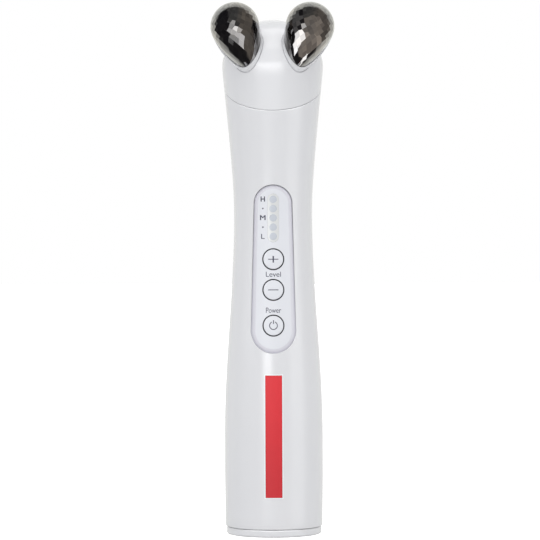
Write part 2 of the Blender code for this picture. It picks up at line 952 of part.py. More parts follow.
def make_light_shield():
    """Black block between the board and the window, with a light well for each lamp."""
    half = window_length / 2 - fit_gap
    foot = window_height - half
    face = (board_frame.inverted() @ panel_frame(foot).translation).z
    high = face - floor_depth - fit_gap
    low = seam_gap - board_depth
    outline = capsule(up_panel(foot), up_panel(foot + 2 * half), shield_radius, shield_radius)
    place = board_frame @ Matrix.Translation((0, 0, (low + high) / 2))
    shield = prism("light_shield", outline, (high - low) / 2, parts, place)
    for i, height in enumerate(lens_heights()):
        spot = (0, up_panel(height))
        cut(shield, rod(f"light_well_{i}", shield_bore, -reach, reach, cutters, board_frame, spot, 12))
    return paint(shield, "chip_black")


def make_chip():
    half = chip_size / 2
    y = up_panel(chip_height_at)
    high = -board_depth - board_thickness - seam_gap
    corners = (-half, y - half, high - chip_height), (half, y + half, high)
    return paint(box("control_chip", *corners, parts, board_frame), "chip_black")


def make_transformer():
    half = transformer_width / 2
    y = up_panel(transformer_height_at)
    high = -board_depth - board_thickness - seam_gap
    low = high - transformer_depth
    tall = transformer_length / 2
    block = box("output_transformer", (-half, y - tall, low), (half, y + tall, high), parts, board_frame)
    return paint(block, "ferrite_grey")


# Handle shells

def shell_half(name, front):
    low = cap_height + seam_gap
    high = seam_height + ring_pitch
    profile = side_profile(low, high) + side_profile(low, high, wall)[::-1]
    shell = turned(name, profile, parts, facets=40, ring=True)
    gap = seam_gap / 2
    if front:
        corners = (-reach, -gap, -reach), (reach, reach, 4 * reach)
    else:
        corners = (-reach, -reach, -reach), (reach, gap, 4 * reach)
    cut(shell, box(name + "_half", *corners, cutters))
    cut(shell, slab(name + "_top", seam_frame, -seam_gap / 2, reach))
    return shell


def make_rear_shell():
    return paint(shell_half("rear_shell", False), "white_shell")


def boss_to_wall(name, place, centre, low, high):
    """Boss from a height up into the front wall, trimmed to stay inside the wall."""
    boss = rod(name, screw_boss_radius, low, high, cutters, place, centre, 12)
    trim_low, trim_high = cap_height + overrun, seam_height
    return keep(boss, core(name + "_trim", trim_low, trim_high, wall / 2))


def make_front_shell():
    shell = shell_half("front_shell", True)
    floor = panel_skin("floor_sheet", wall / 2, floor_bottom)
    keep(floor, panel_prism("floor_outline", floor_margin), front_only("floor_front"))
    join(shell, floor)
    top_place = board_frame
    top_y = up_panel(top_screw_height)
    spine_front = -board_depth - board_thickness - spine_standoff
    join(shell, boss_to_wall("top_boss", top_place, (0, top_y), spine_front + fit_gap, reach / 4))
    bar_front = fit_gap - battery_y + crossbar_thickness / 2
    for side in sides:
        centre = (side * low_screw_x, crossbar_height)
        join(shell, boss_to_wall(f"low_boss_{sides[side]}", front_frame, centre, bar_front, reach / 3))
    recess = panel_skin("recess_sheet", -overrun, floor_top)
    keep(recess, panel_prism("recess_outline", seam_gap))
    cut(shell, recess)
    seat = flange_seat - floor_depth
    for name, height in buttons.items():
        place = panel_frame(height)
        cut(shell, rod(f"{name}_floor_hole", button_hole, -3 * overrun, 0, cutters, place))
        room = flange_radius + fit_gap
        cut(shell, rod(f"{name}_flange_room", room, -3 * overrun, seat, cutters, place))
    slot = window_prism("floor_slot", lens_radius + fit_gap - window_radius)
    keep(slot, front_only("slot_front"))
    cut(shell, slot)
    depth = strip_depth + seam_gap
    pocket = skin("pocket_sheet", strip_low - overrun, strip_high + overrun, 0, -overrun, depth)
    half = strip_width / 2 + seam_gap / 2
    low, high = strip_low - seam_gap / 2, strip_high + seam_gap / 2
    keep(pocket, box("pocket_outline", (-half, -reach, low), (half, 0, high), cutters))
    cut(shell, pocket)
    bore = screw_radius + running_gap
    low, high = spine_front - overrun, spine_front + screw_length
    cut(shell, rod("top_tap", bore, low, high, cutters, top_place, (0, top_y), 12))
    low, high = bar_front - overrun, bar_front + screw_length
    for side in sides:
        centre = (side * low_screw_x, crossbar_height)
        cut(shell, rod(f"low_tap_{sides[side]}", bore, low, high, cutters, front_frame, centre, 12))
    return paint(shell, "white_shell")


def make_red_strip():
    strip = skin("strip_sheet", strip_low - overrun, strip_high + overrun, 0, 0, strip_depth)
    half = strip_width / 2
    keep(strip, box("strip_outline", (-half, -reach, strip_low), (half, 0, strip_high), cutters))
    return into_part(strip, "red_strip", "red_inlay")


# Inner frame, battery and leads

def make_inner_frame():
    """Spine behind the board, and a half cradle for the battery with a screw bar."""
    half = spine_width / 2
    front = -board_depth - board_thickness - spine_standoff
    low = (-half, up_panel(spine_low), front - spine_thickness)
    frame = box("inner_frame", low, (half, up_panel(spine_high), front), parts, board_frame)
    room = battery_radius + fit_gap
    tube = room + cradle_wall
    axis = Matrix.Translation((0, battery_y, 0))
    cradle = rod("cradle", tube, cradle_low, cradle_high, cutters, axis, facets=32)
    mouth = battery_y + cradle_mouth
    keep(cradle, box("cradle_front", (-reach, -reach, 0), (reach, mouth, 2 * reach), cutters))
    join(frame, cradle)
    bar_half = crossbar_thickness / 2
    bar_low = (-crossbar_reach, battery_y - bar_half, crossbar_height - crossbar_width / 2)
    bar_high = (crossbar_reach, battery_y + bar_half, crossbar_height + crossbar_width / 2)
    bar = box("crossbar", bar_low, bar_high, cutters)
    join(frame, bar)
    low, high = cradle_low + cradle_wall, cradle_high - cradle_wall
    cut(frame, rod("battery_room", room, low, high, cutters, axis, facets=32))
    post_heights = {"low_post": board_low + 2 * post_radius, "high_post": board_high - 2 * post_radius}
    for name, height in post_heights.items():
        post_top = -board_depth - board_thickness - seam_gap
        spot = (0, up_panel(height))
        join(frame, rod(name, post_radius, front - seam_gap, post_top, cutters, board_frame, spot, 12))
    window_half = transformer_width / 2 + fit_gap
    window_y = up_panel(transformer_height_at)
    window_tall = transformer_length / 2 + fit_gap
    window_low = (-window_half, window_y - window_tall, front - spine_thickness - overrun)
    window_high = (window_half, window_y + window_tall, front + seam_gap)
    cut(frame, box("transformer_window", window_low, window_high, cutters, board_frame))
    bore = screw_radius + fit_gap
    spot = (0, up_panel(top_screw_height))
    cut(frame, rod("top_pass", bore, front - 2 * overrun, front + overrun, cutters, board_frame, spot, 12))
    low, high = -battery_y - overrun, overrun - battery_y
    for side in sides:
        spot = (side * low_screw_x, crossbar_height)
        cut(frame, rod(f"low_pass_{sides[side]}", bore, low, high, cutters, front_frame, spot, 12))
    return paint(frame, "frame_grey")


def make_frame_screws():
    front = -board_depth - board_thickness - spine_standoff
    place = board_frame @ Matrix.Translation((0, up_panel(top_screw_height), 0))
    screw("frame_screw_top", place, front - spine_thickness - running_gap)
    for side in sides:
        spot = Vector((side * low_screw_x, battery_y, crossbar_height))
        place = Matrix.Translation(spot) @ front_frame
        screw(f"frame_screw_{sides[side]}", place, -crossbar_thickness / 2 - running_gap)


def make_battery():
    body_high = battery_high - battery_edge
    profile = [
        (0, battery_high + terminal_height),
        (terminal_radius, battery_high + terminal_height),
        (terminal_radius, battery_high),
        (battery_radius - battery_edge, battery_high),
        (battery_radius, body_high),
        (battery_radius, battery_low + battery_edge),
        (battery_radius - battery_edge, battery_low),
        (0, battery_low),
    ]
    axis = Matrix.Translation((0, battery_y, 0))
    return paint(turned("battery", profile, parts, axis, 24), "battery_blue")


def make_electrode_lead(side):
    """From a contact tag's tail down to the top edge of the board."""
    below_boss = boss_bottom - running_gap - tag_thickness - lead_clear
    tail = roller_frame(side) @ Vector((0, -tag_radius * 2 + lead_radius, below_boss))
    top = up_panel(board_high) + lead_clear
    x = side * electrode_lead_x
    bend = board_frame @ Vector((x, top + lead_run_in, -board_depth - board_thickness / 2))
    end = board_frame @ Vector((x, top, -board_depth - board_thickness / 2))
    drop_to = Vector((tail.x, tail.y, seam_height - 3 * ring_pitch / 2))
    name = f"electrode_lead_{sides[side]}"
    return paint(wire(name, [tail, drop_to, bend, end], lead_radius, parts), "lead_red")


def board_edge(side, height, clear):
    """Spot beside the board's long edge at a height."""
    x = side * (board_width / 2 + clear)
    return board_frame @ Vector((x, up_panel(height), -board_depth - board_thickness / 2))


def make_positive_lead():
    start = Vector((0, battery_y + terminal_radius + lead_clear, battery_high + lead_clear))
    end = board_edge(1, lead_pad_height, lead_clear)
    over = Vector((end.x / 2, start.y, battery_high + 2 * cradle_wall + lead_clear))
    beside = Vector((end.x, battery_y, lead_pad_height - lead_run_in))
    points = [start, over, beside, end]
    return paint(wire("battery_lead_positive", points, lead_radius, parts), "lead_red")


def make_negative_lead():
    start = Vector((0, battery_y + cradle_mouth + 2 * lead_clear, battery_low - lead_clear))
    end = board_edge(-1, lead_pad_height, lead_clear)
    x = end.x / 2
    points = [
        start,
        Vector((x / 2, battery_y + battery_radius + 2 * lead_clear, start.z)),
        Vector((x, back_run_y, battery_low + lead_run_in)),
        Vector((x, back_run_y, battery_high)),
        Vector((end.x, battery_y, lead_pad_height - lead_run_in)),
        end,
    ]
    return paint(wire("battery_lead_negative", points, lead_radius, parts), "lead_black")


def make_charge_cable():
    clear = cable_radius + fit_gap
    end = board_edge(1, cable_pad_height, clear)
    x = end.x / 2
    points = [
        Vector((x, back_run_y - 2 * clear, charge_board_height + charge_board_thickness + clear)),
        Vector((x, back_run_y, battery_low + lead_run_in)),
        Vector((x, back_run_y, battery_high)),
        Vector((end.x, battery_y, cable_pad_height - lead_run_in)),
        end,
    ]
    return paint(wire("charge_cable", points, cable_radius, parts), "lead_black")


# Base

def handle_inside(height):
    return body_radius(height) - wall


def make_base_cap():
    """Floor, short side and a spigot that plugs into the handle, with an O-ring groove."""
    spigot = handle_inside(cap_height) - fit_gap
    inside = spigot - cap_spigot_wall
    groove = spigot - base_seal_radius
    groove_high = base_seal_height + base_seal_radius + running_gap
    groove_low = base_seal_height - base_seal_radius - running_gap
    profile = [
        (0, cap_floor),
        (inside, cap_floor),
        (inside, cap_spigot_top),
        (spigot, cap_spigot_top),
        (spigot, groove_high),
        (groove, groove_high),
        (groove, groove_low),
        (spigot, groove_low),
        (spigot, cap_height),
        (cap_radius, cap_height),
        (cap_radius, cap_edge),
        (cap_radius - cap_edge / 3, cap_edge / 3),
        (cap_radius - cap_edge, 0),
        (0, 0),
    ]
    cap = turned("base_cap", profile, parts, facets=36)
    for side in sides:
        place = Matrix.Translation((side * charge_contact_x, 0, 0))
        bore = charge_contact_radius + running_gap
        hole = rod(f"contact_hole_{sides[side]}", bore, -overrun, 2 * cap_floor, cutters, place, facets=16)
        cut(cap, hole)
    return paint(cap, "white_shell")


def make_base_seal():
    outer = handle_inside(cap_height) - running_gap / 2
    inner = handle_inside(cap_height) - fit_gap - base_seal_radius + running_gap / 2
    middle, half = (outer + inner) / 2, (outer - inner) / 2
    angles = [-math.pi / 3 * i for i in range(6)]
    profile = [
        (middle + half * math.cos(angle), base_seal_height + base_seal_radius * math.sin(angle))
        for angle in angles
    ]
    return paint(turned("base_seal", profile, parts, facets=28, ring=True), "rubber")


def make_charge_board():
    low = charge_board_height
    radius = handle_inside(cap_height) - fit_gap - cap_spigot_wall - charge_board_inset
    board = rod("charge_board", radius, low, low + charge_board_thickness, parts, facets=24)
    return paint(board, "board_green")


def make_charge_contact(side):
    flange_low = cap_floor + seam_gap
    flange_high = flange_low + charge_flange_thickness
    top = charge_board_height - seam_gap
    profile = [
        (0, top),
        (charge_contact_radius, top),
        (charge_contact_radius, flange_high),
        (charge_flange_radius, flange_high),
        (charge_flange_radius, flange_low),
        (charge_contact_radius, flange_low),
        (charge_contact_radius, seam_gap),
        (0, seam_gap),
    ]
    place = Matrix.Translation((side * charge_contact_x, 0, 0))
    return paint(turned(f"charge_contact_{sides[side]}", profile, parts, place, 12), "brass")


make_head_cover()
make_head_frame()
make_head_screws()
for side in sides:
    make_roller(side)
    make_sleeve(side)
    make_axle(side)
    make_axle_seal(side)
    make_contact_tag(side)
    make_axle_clip(side)
    make_electrode_lead(side)
    make_charge_contact(side)
make_control_panel()
make_level_window()
make_lenses()
for name, height in buttons.items():
    make_button(name, height)
    make_switch(name, height)
make_board()
make_leds()
make_light_shield()
make_chip()
make_transformer()
make_front_shell()
make_rear_shell()
make_red_strip()
make_inner_frame()
make_frame_screws()
make_battery()
make_positive_lead()
make_negative_lead()
make_charge_cable()
make_base_cap()
make_base_seal()
make_charge_board()
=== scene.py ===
# Facial device with two faceted rollers: the looks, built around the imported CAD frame.
# Metres, +Z up, control panel towards -Y.
import json
import random
from math import asin, atan, atan2, cos, hypot, pi, radians, sin, sqrt, tan

import bpy
from mathutils import Matrix, Vector

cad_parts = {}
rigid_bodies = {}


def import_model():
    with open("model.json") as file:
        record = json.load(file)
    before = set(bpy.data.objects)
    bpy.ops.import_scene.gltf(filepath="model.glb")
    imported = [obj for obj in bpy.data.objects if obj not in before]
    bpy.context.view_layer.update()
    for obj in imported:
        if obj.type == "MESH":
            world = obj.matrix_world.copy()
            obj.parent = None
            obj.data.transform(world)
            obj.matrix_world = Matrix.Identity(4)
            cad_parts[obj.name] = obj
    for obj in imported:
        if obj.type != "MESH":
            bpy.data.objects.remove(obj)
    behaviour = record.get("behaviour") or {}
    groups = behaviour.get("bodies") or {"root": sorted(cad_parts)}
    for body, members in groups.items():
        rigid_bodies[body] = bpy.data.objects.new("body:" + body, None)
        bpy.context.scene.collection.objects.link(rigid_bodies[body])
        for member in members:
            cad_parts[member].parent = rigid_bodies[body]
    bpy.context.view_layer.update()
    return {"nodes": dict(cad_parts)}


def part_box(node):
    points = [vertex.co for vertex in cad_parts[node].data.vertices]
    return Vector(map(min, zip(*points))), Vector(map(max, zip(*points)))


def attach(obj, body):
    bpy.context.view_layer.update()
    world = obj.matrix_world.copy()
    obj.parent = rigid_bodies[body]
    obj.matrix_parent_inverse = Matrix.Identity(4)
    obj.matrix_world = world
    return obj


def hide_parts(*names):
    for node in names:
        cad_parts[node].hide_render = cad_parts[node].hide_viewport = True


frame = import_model()
nodes = frame["nodes"]
print("1 frame loaded:", len(nodes), "CAD nodes")

fullTurn = 2 * pi
upright = Matrix.Rotation(pi / 2, 4, "X")  # local Z to the front, local Y up
sideNames = {-1: "left", 1: "right"}
# where cutting solids end, past what they cut
beyond = {"side": 0.04, "front": 0.03, "low": -0.01, "high": 0.2, "skin": 0.002}


# Helpers for working by operator

def moved(x=0, y=0, z=0):
    return Matrix.Translation((x, y, z))


def deselectAll():
    active = bpy.context.view_layer.objects.active
    if active and active.mode != "OBJECT":
        bpy.ops.object.mode_set(mode="OBJECT")
    for each in bpy.context.view_layer.objects:
        each.select_set(False)


def focus(piece):
    deselectAll()
    piece.select_set(True)
    bpy.context.view_layer.objects.active = piece


def editParts(piece, kind, test):
    # opens the piece in edit mode with the vertices, edges or faces that pass the test selected
    focus(piece)
    mesh = piece.data
    groups = {"VERT": mesh.vertices, "EDGE": mesh.edges, "FACE": mesh.polygons}
    for group in groups.values():
        group.foreach_set("select", [False] * len(group))
    for part in groups[kind]:
        part.select = bool(test(part))
    editMode(kind)


def editMode(kind):
    bpy.context.tool_settings.mesh_select_mode = [kind == each for each in ("VERT", "EDGE", "FACE")]
    bpy.ops.object.mode_set(mode="EDIT")


def editAll(piece, kind="VERT"):
    focus(piece)
    editMode(kind)
    bpy.ops.mesh.select_all(action="SELECT")


def objectMode():
    bpy.ops.object.mode_set(mode="OBJECT")


def placeMesh(piece, place):
    focus(piece)
    bpy.context.view_layer.update()
    piece.matrix_world = place @ piece.matrix_world
    bpy.ops.object.transform_apply(location=True, rotation=True, scale=True)
    return piece


def closeMesh(piece):
    # leaves edit mode with every face turned outwards
    bpy.ops.mesh.select_all(action="SELECT")
    bpy.ops.mesh.normals_make_consistent(inside=False)
    objectMode()
    return piece


def cleanMesh(piece, weld=1e-6):
    editAll(piece)
    bpy.ops.mesh.remove_doubles(threshold=weld)
    return closeMesh(piece)


def mergeFlats(piece, weld, angle):
    editAll(piece)
    bpy.ops.mesh.remove_doubles(threshold=weld)
    bpy.ops.mesh.dissolve_limited(angle_limit=radians(angle))
    objectMode()


def named(name, piece=None):
    # the object that was made last, unless one is given
    piece = piece or bpy.context.object
    piece.name = name
    piece.data.name = name
    return piece


def drop(piece):
    bpy.data.objects.remove(piece, do_unlink=True)


def turnProfile(name, profile, steps=160, place=Matrix(), closed=False, start=0, sweep=fullTurn):
    # traces a half outline of (radius, height) points and spins it, clockwise from above
    radius, height = profile[0]
    bpy.ops.mesh.primitive_plane_add(size=0.001, location=(radius, 0, height))
    piece = placeMesh(named(name), Matrix())
    editAll(piece)
    bpy.ops.mesh.merge(type="CENTER")
    for nextRadius, nextHeight in profile[1:] + (profile[:1] if closed else []):
        step = (nextRadius - radius, 0, nextHeight - height)
        bpy.ops.mesh.extrude_region_move(TRANSFORM_OT_translate={"value": step})
        radius, height = nextRadius, nextHeight
    bpy.ops.mesh.select_all(action="SELECT")
    bpy.ops.mesh.remove_doubles(threshold=1e-7)
    bpy.ops.mesh.spin(steps=steps, angle=sweep, center=(0, 0, 0), axis=(0, 0, 1))
    bpy.ops.mesh.select_all(action="SELECT")
    bpy.ops.mesh.remove_doubles(threshold=1e-6)
    if sweep < fullTurn:
        bpy.ops.mesh.fill_holes(sides=0)
    return placeMesh(closeMesh(piece), place @ Matrix.Rotation(start, 4, "Z"))


def discAt(name, radius, facets, place):
    bpy.ops.mesh.primitive_circle_add(vertices=facets, radius=radius, fill_type="NGON")
    return placeMesh(named(name), place)


def pushThrough(piece, push):
    # gives a flat face its depth
    editAll(piece, "FACE")
    bpy.ops.mesh.extrude_region_move(TRANSFORM_OT_translate={"value": push})
    return closeMesh(piece)


def rodAt(name, radius, low, high, place, facets=64):
    rod = discAt(name, radius, facets, moved(z=low))
    return placeMesh(pushThrough(rod, (0, 0, high - low)), place)


def blockAt(name, low, high, place=Matrix()):
    bpy.ops.mesh.primitive_cube_add(size=1, location=[(a + b) / 2 for a, b in zip(low, high)])
    block = named(name)
    block.scale = [b - a for a, b in zip(low, high)]
    return placeMesh(block, place)


def layerAt(name, low, high, place, side=beyond["side"]):
    # a wide block between two heights of a tilted place
    return blockAt(name, (-side, -side, low), (side, side, high), place)


def slabAt(name, front, back):
    # a slab across the device between two depths
    side = beyond["side"]
    return blockAt(name, (-side, front, beyond["low"]), (side, back, beyond["high"]))


def combine(piece, tool, operation="DIFFERENCE"):
    focus(piece)
    step = piece.modifiers.new("combine", "BOOLEAN")
    step.operation = operation
    step.solver = "MANIFOLD"
    step.object = tool
    bpy.ops.object.modifier_apply(modifier=step.name)
    drop(tool)
    return piece


def carve(piece, *tools):
    for tool in tools:
        combine(piece, tool)
    return piece


def copyPiece(piece, name):
    twin = piece.copy()
    twin.data = piece.data.copy()
    twin.parent = None
    twin.matrix_world = Matrix()
    for key in list(twin.keys()):
        del twin[key]
    bpy.context.scene.collection.objects.link(twin)
    twin.hide_render = False
    twin.hide_viewport = False
    return named(name, twin)


def shade(piece, angle):
    focus(piece)
    bpy.ops.object.shade_smooth_by_angle(angle=radians(angle))
    return piece


def stepsBetween(first, last, pitch):
    count = max(round(abs(last - first) / pitch), 1)
    return [first + (last - first) * i / count for i in range(count + 1)]


def clamp(value):
    return min(max(value, 0), 1)


def ease(share):
    return share * share * (3 - 2 * share)


def quarterTurn(steps, first=1):
    # steps round a corner: the share gone along it, and the share drawn in
    angles = [pi / 2 * i / steps for i in range(first, steps + 1)]
    return [(sin(angle), 1 - cos(angle)) for angle in angles]


# Outline of the body, from the foot of the handle to the top of the dome

body = {
    "headHeight": 0.1700,
    "headRadius": 0.0185,
    "domeHeight": 0.0180,
    "domeBlend": 0.0004,
    "domeFoot": 0.002,  # the dome's rings start this far under it
    "bellyLow": 0.0250,
    "bellyTop": 0.0360,
    "waistHeight": 0.1170,
    "bellyRadius": 0.0180,
    "footRadius": 0.0178,
    "waistRadius": 0.01426,
    "shoulderRadius": 0.01773,
    "flareReach": 0.0160,
    "seamHeight": 0.1631,
    "seamTilt": radians(25.3),
    "wall": 0.0020,
    "gap": 0.0002,
    "lipCut": 0.00012,  # chamfer on the lower edge of the head
    "seamCut": 0.00015,  # depth of the chamfer on the handle's upper edge, which catches the light
    "seamStretch": 3.4,  # its height, over its depth
    "tongue": 0.0007,
    "tongueRoot": 0.0005,
    "grooveRoom": 0.0005,
    "stock": 0.012,  # left above the tilted joint until it is cut
    "headStock": 0.020,
    "footRise": 0.0029,
    "footBevel": 0.0011,
    "footSteps": ((0.00012, 0.00025), (0.00045, 0)),  # drawn in, and up, round the foot's edge
    "innerPitch": 0.004,
    "smooth": 10,  # a small angle keeps the chamfers crisp
    "headSmooth": 30,
}


def handleRadius(height):
    if height > body["waistHeight"]:
        reach = body["flareReach"]
        flare = hypot(height - body["waistHeight"], reach) - reach
        shoulder = hypot(body["seamHeight"] - body["waistHeight"], reach) - reach
        return body["waistRadius"] + (body["shoulderRadius"] - body["waistRadius"]) * flare / shoulder
    foot = ease(clamp(height / body["bellyLow"]))
    taper = ease(clamp((height - body["bellyTop"]) / (body["waistHeight"] - body["bellyTop"])))
    lower = body["footRadius"] + (body["bellyRadius"] - body["footRadius"]) * foot
    return lower + (body["waistRadius"] - body["bellyRadius"]) * taper


def domeRadius(height, inset=0):
    rise = max(height - body["headHeight"], 0) / (body["domeHeight"] - inset)
    return (body["headRadius"] - inset) * sqrt(max(1 - rise * rise, 0))


def bodyRadius(height, inset=0):
    first, second = handleRadius(height) - inset, domeRadius(height, inset)
    near = max(body["domeBlend"] - abs(first - second), 0) / body["domeBlend"]
    return min(first, second) - near * near * body["domeBlend"] / 4


def bodySlope(height):
    step = 0.001
    return (bodyRadius(height + step) - bodyRadius(height - step)) / (2 * step)


def sideProfile(low, high, inset=0, pitch=0.0015):
    return [(bodyRadius(z, inset), z) for z in stepsBetween(high, low, pitch)]


def domeProfile(low, inset=0, rings=28):
    top = body["headHeight"] + body["domeHeight"] - inset
    foot = body["headHeight"] - body["domeFoot"]
    heights = [foot + (top - foot) * cos(i / rings * pi / 2) for i in range(1, rings)]
    rim = [(bodyRadius(z, inset), z) for z in heights]
    return [(0, top)] + rim + sideProfile(low, foot, inset) + [(0, low)]


seamFrame = moved(z=body["seamHeight"]) @ Matrix.Rotation(body["seamTilt"], 4, "X")


def seamOutline(count=192, rounds=12):
    # where the tilted joint plane meets the outside, in the plane's own X and Y
    points = []
    for i in range(count):
        angle = fullTurn * i / count
        radius = bodyRadius(body["seamHeight"])
        for _ in range(rounds):
            height = body["seamHeight"] + radius * sin(angle) * tan(body["seamTilt"])
            radius = bodyRadius(height)
        points.append((radius * cos(angle), radius * sin(angle) / cos(body["seamTilt"])))
    return points


def bandCutter(name, outline, size, place, drape=None):
    # a four-sided bead along a flat outline, which takes a small chamfer off both edges of a joint
    curve = bpy.data.curves.new(name, "CURVE")
    curve.dimensions = "2D"
    curve.fill_mode = "NONE"
    curve.bevel_depth = size
    curve.bevel_resolution = 0
    spline = curve.splines.new("POLY")
    spline.points.add(len(outline) - 1)
    for point, (x, y) in zip(spline.points, outline):
        point.co = (x, y, 0, 1)
    spline.use_cyclic_u = True
    bead = bpy.data.objects.new(name, curve)
    bpy.context.scene.collection.objects.link(bead)
    focus(bead)
    bpy.ops.object.convert(target="MESH")
    bead = bpy.context.object
    placeMesh(bead, place)
    if drape:
        for point in bead.data.vertices:
            point.co += drape(point.co)
    return cleanMesh(bead, weld=1e-7)


def bodyDrape(point):
    radius = bodyRadius(point.z)
    return Vector((0, -sqrt(max(radius * radius - point.x * point.x, 1e-9)), 0))


def seamDrape(point):
    return Vector((0, 0, point.y * tan(body["seamTilt"])))


# Handle: two shells that meet at the sides, below a tilted joint

panel = {
    "low": 0.0672,
    "high": 0.1280,
    "lowRadius": 0.0080,
    "highRadius": 0.0068,
    "recess": 0.0005,
    "thickness": 0.0012,
    "axisShift": 0.0050,
    "bandWidth": 0.00145,
    "bandDrop": 0.00034,
    "bandPower": 1.4,
    "edgeWidth": 0.0003,
    "edgeDrop": 0.00008,
    "floorHigh": 0.0019,
    "floorLow": 0.0033,
    "floorMargin": 0.0016,
    "halfWidths": {"floor": 0.0115, "recess": 0.0100, "sheet": 0.0095},  # before they get their outline
    "pitches": {"floor": 0.0012, "recess": 0.0006},
    "faceReach": 0.0001,  # what lies this near the face belongs to it
    "smooth": 25,
    "lipCut": 0.00018,
    "lowGrow": 0.00016,  # the joint around the panel closes towards its lower end
}
levels = {
    "middle": 0.11613,
    "count": 5,
    "pitch": 0.00336,
    "lensRadius": 0.00132,
    "lensLength": 0.0026,
    "windowRadius": 0.0021,
    "windowHalfWidth": 0.003,
    "windowMargin": 0.001,
    "lensDome": ((0, 0.00002), (0.5, 0.000012), (0.85, 0)),  # share of the radius, height
    "lensEdge": ((0.00004, 0.00001), (0, 0.00005)),  # drawn in, down
    "lensBevel": 0.00015,
    "ledge": 0.0005,
    "slit": 0.00004,
    "smooth": 35,
}
buttonHeights = {"plus": 0.10113, "minus": 0.09003, "power": 0.0771}
button = {
    "radius": 0.00358,
    "hole": 0.0040,
    "crown": 0.00012,
    "edge": 0.00030,
    "flangeRadius": 0.0045,
    "flangeThickness": 0.0007,
    "flangeSeat": 0.0002,
    "plungerRadius": 0.0014,
    "flangeRoom": 0.0003,
    "holeDepth": 0.006,
    "panelHole": (-0.004, 0.002),
    "smooth": 35,
}
strip = {
    "low": 0.01465,
    "high": 0.05906,
    "width": 0.0061,
    "depth": 0.0005,
    "slit": 0.00004,
    "rim": 0.00034,
    "rimProud": 0.00003,
    "proud": 0.00001,
    "bed": 0.0001,
    "halfWidth": 0.006,  # before it gets its outline
    "over": 0.01,
}


def capsuleOutline(low, high, lowRadius, highRadius, grow=0, steps=48):
    lowCentre, highCentre = low + lowRadius, high - highRadius
    lean = asin((lowRadius - highRadius) / (highCentre - lowCentre))
    points = []
    for centre, radius, start, sweep in (
        (highCentre, highRadius + grow, lean, pi - 2 * lean),
        (lowCentre, lowRadius + grow, pi - lean, pi + 2 * lean),
    ):
        for i in range(steps + 1):
            angle = start + sweep * i / steps
            points.append((radius * cos(angle), centre + radius * sin(angle)))
    return points


def slotSolid(name, low, high, lowRadius, highRadius, grow=0):
    # a disc drawn out into a slot with unlike ends, pushed back from in front of the handle
    lowCentre, highCentre = low + lowRadius, high - highRadius
    first, depth = lowRadius + grow, beyond["front"]
    slot = discAt(name, first, facets=144, place=moved(0, -depth, lowCentre) @ upright)
    share = (highRadius + grow) / first
    editParts(slot, "VERT", lambda v: v.co.z > lowCentre + 1e-6)
    bpy.ops.transform.resize(value=(share, 1, share), center_override=(0, -depth, lowCentre))
    bpy.ops.transform.translate(value=(0, 0, highCentre - lowCentre))
    objectMode()
    return pushThrough(slot, (0, depth, 0))


def skinArc(name, low, high, outer, inner, shift, halfWidth, pitch=0.0004):
    # a slice of a shell between two depths under the outside, turned about a line behind the middle
    heights = stepsBetween(high, low, pitch)
    outside = [(bodyRadius(z) - outer + shift, z) for z in heights]
    inside = [(bodyRadius(z) - inner + shift, z) for z in reversed(heights)]
    half, usual = asin(halfWidth / min(r for r, z in inside)), 0.0195
    steps = max(round(2 * half * usual / pitch), 4)
    return turnProfile(name, outside + inside, steps, moved(y=shift), True, half - pi / 2, 2 * half)


def windowSpan():
    half = levels["pitch"] * (levels["count"] - 1) / 2 + levels["windowRadius"]
    return levels["middle"] - half, levels["middle"] + half


def windowSlot(name, grow=0):
    radius = levels["windowRadius"]
    return slotSolid(name, *windowSpan(), radius, radius, grow)


def stripSheet(name, grow, outer, inner):
    # a slice of the skin with the strip's outline, grown by a margin
    half, low, high = strip["width"] / 2 + grow, strip["low"] - grow, strip["high"] + grow
    sheet = skinArc(name, low, high, outer, inner, 0, strip["halfWidth"])
    nearest = (-half, -beyond["front"], low - strip["over"])
    return combine(sheet, blockAt(name + "Outline", nearest, (half, 0, high + strip["over"])), "INTERSECT")


def panelFrame(height):
    tilt = atan(-bodySlope(height))
    face = moved(0, panel["recess"] - bodyRadius(height), height)
    return face @ Matrix.Rotation(pi / 2 - tilt, 4, "X")


def panelSurface(x, z):
    radius = bodyRadius(z) - panel["recess"] + panel["axisShift"]
    return panel["axisShift"] - sqrt(max(radius * radius - x * x, 1e-9))


def shellHalf(name, front):
    low, high, pitch = body["footRise"], body["seamHeight"] + body["stock"], body["innerPitch"]
    foot = low + body["footBevel"]
    outside = sideProfile(foot, high) + [(bodyRadius(low) - drawn, low + up) for drawn, up in body["footSteps"]]
    inside = sideProfile(low, high, body["wall"], pitch)[::-1]
    shell = turnProfile(name, outside + inside, closed=True)
    edge, side = body["gap"] / 2, beyond["side"]
    carve(shell, slabAt(name + "Half", -edge, side) if front else slabAt(name + "Half", -side, edge))
    # the rear half's tongue closes the joint from inside, in a groove of the front half
    reach = -body["tongue"] - (edge if front else 0)
    deep = body["wall"] + (body["grooveRoom"] if front else 0)
    layer = sideProfile(foot, high, body["wall"] / 2, pitch) + sideProfile(foot, high, deep, pitch)[::-1]
    tongue = turnProfile(name + "Tongue", layer, closed=True)
    combine(tongue, slabAt(name + "Joint", reach, body["tongueRoot"]), "INTERSECT")
    combine(shell, tongue, "DIFFERENCE" if front else "UNION")
    carve(shell, layerAt(name + "Top", -edge, side, seamFrame))
    flat = Matrix.Diagonal((1, cos(body["seamTilt"]), 1)).to_4x4()
    outline = [(flat @ Vector((x, y, 0))).xy for x, y in seamOutline()]
    steep = moved(z=body["seamHeight"]) @ Matrix.Diagonal((1, 1, body["seamStretch"], 1))
    carve(shell, bandCutter(name + "Lip", outline, body["seamCut"], steep, seamDrape))
    return shell


def buildRearShell():
    shell = shellHalf("rearShell", False)
    shade(shell, body["smooth"])
    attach(shell, "handle")
    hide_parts("rear_shell")
    return shell


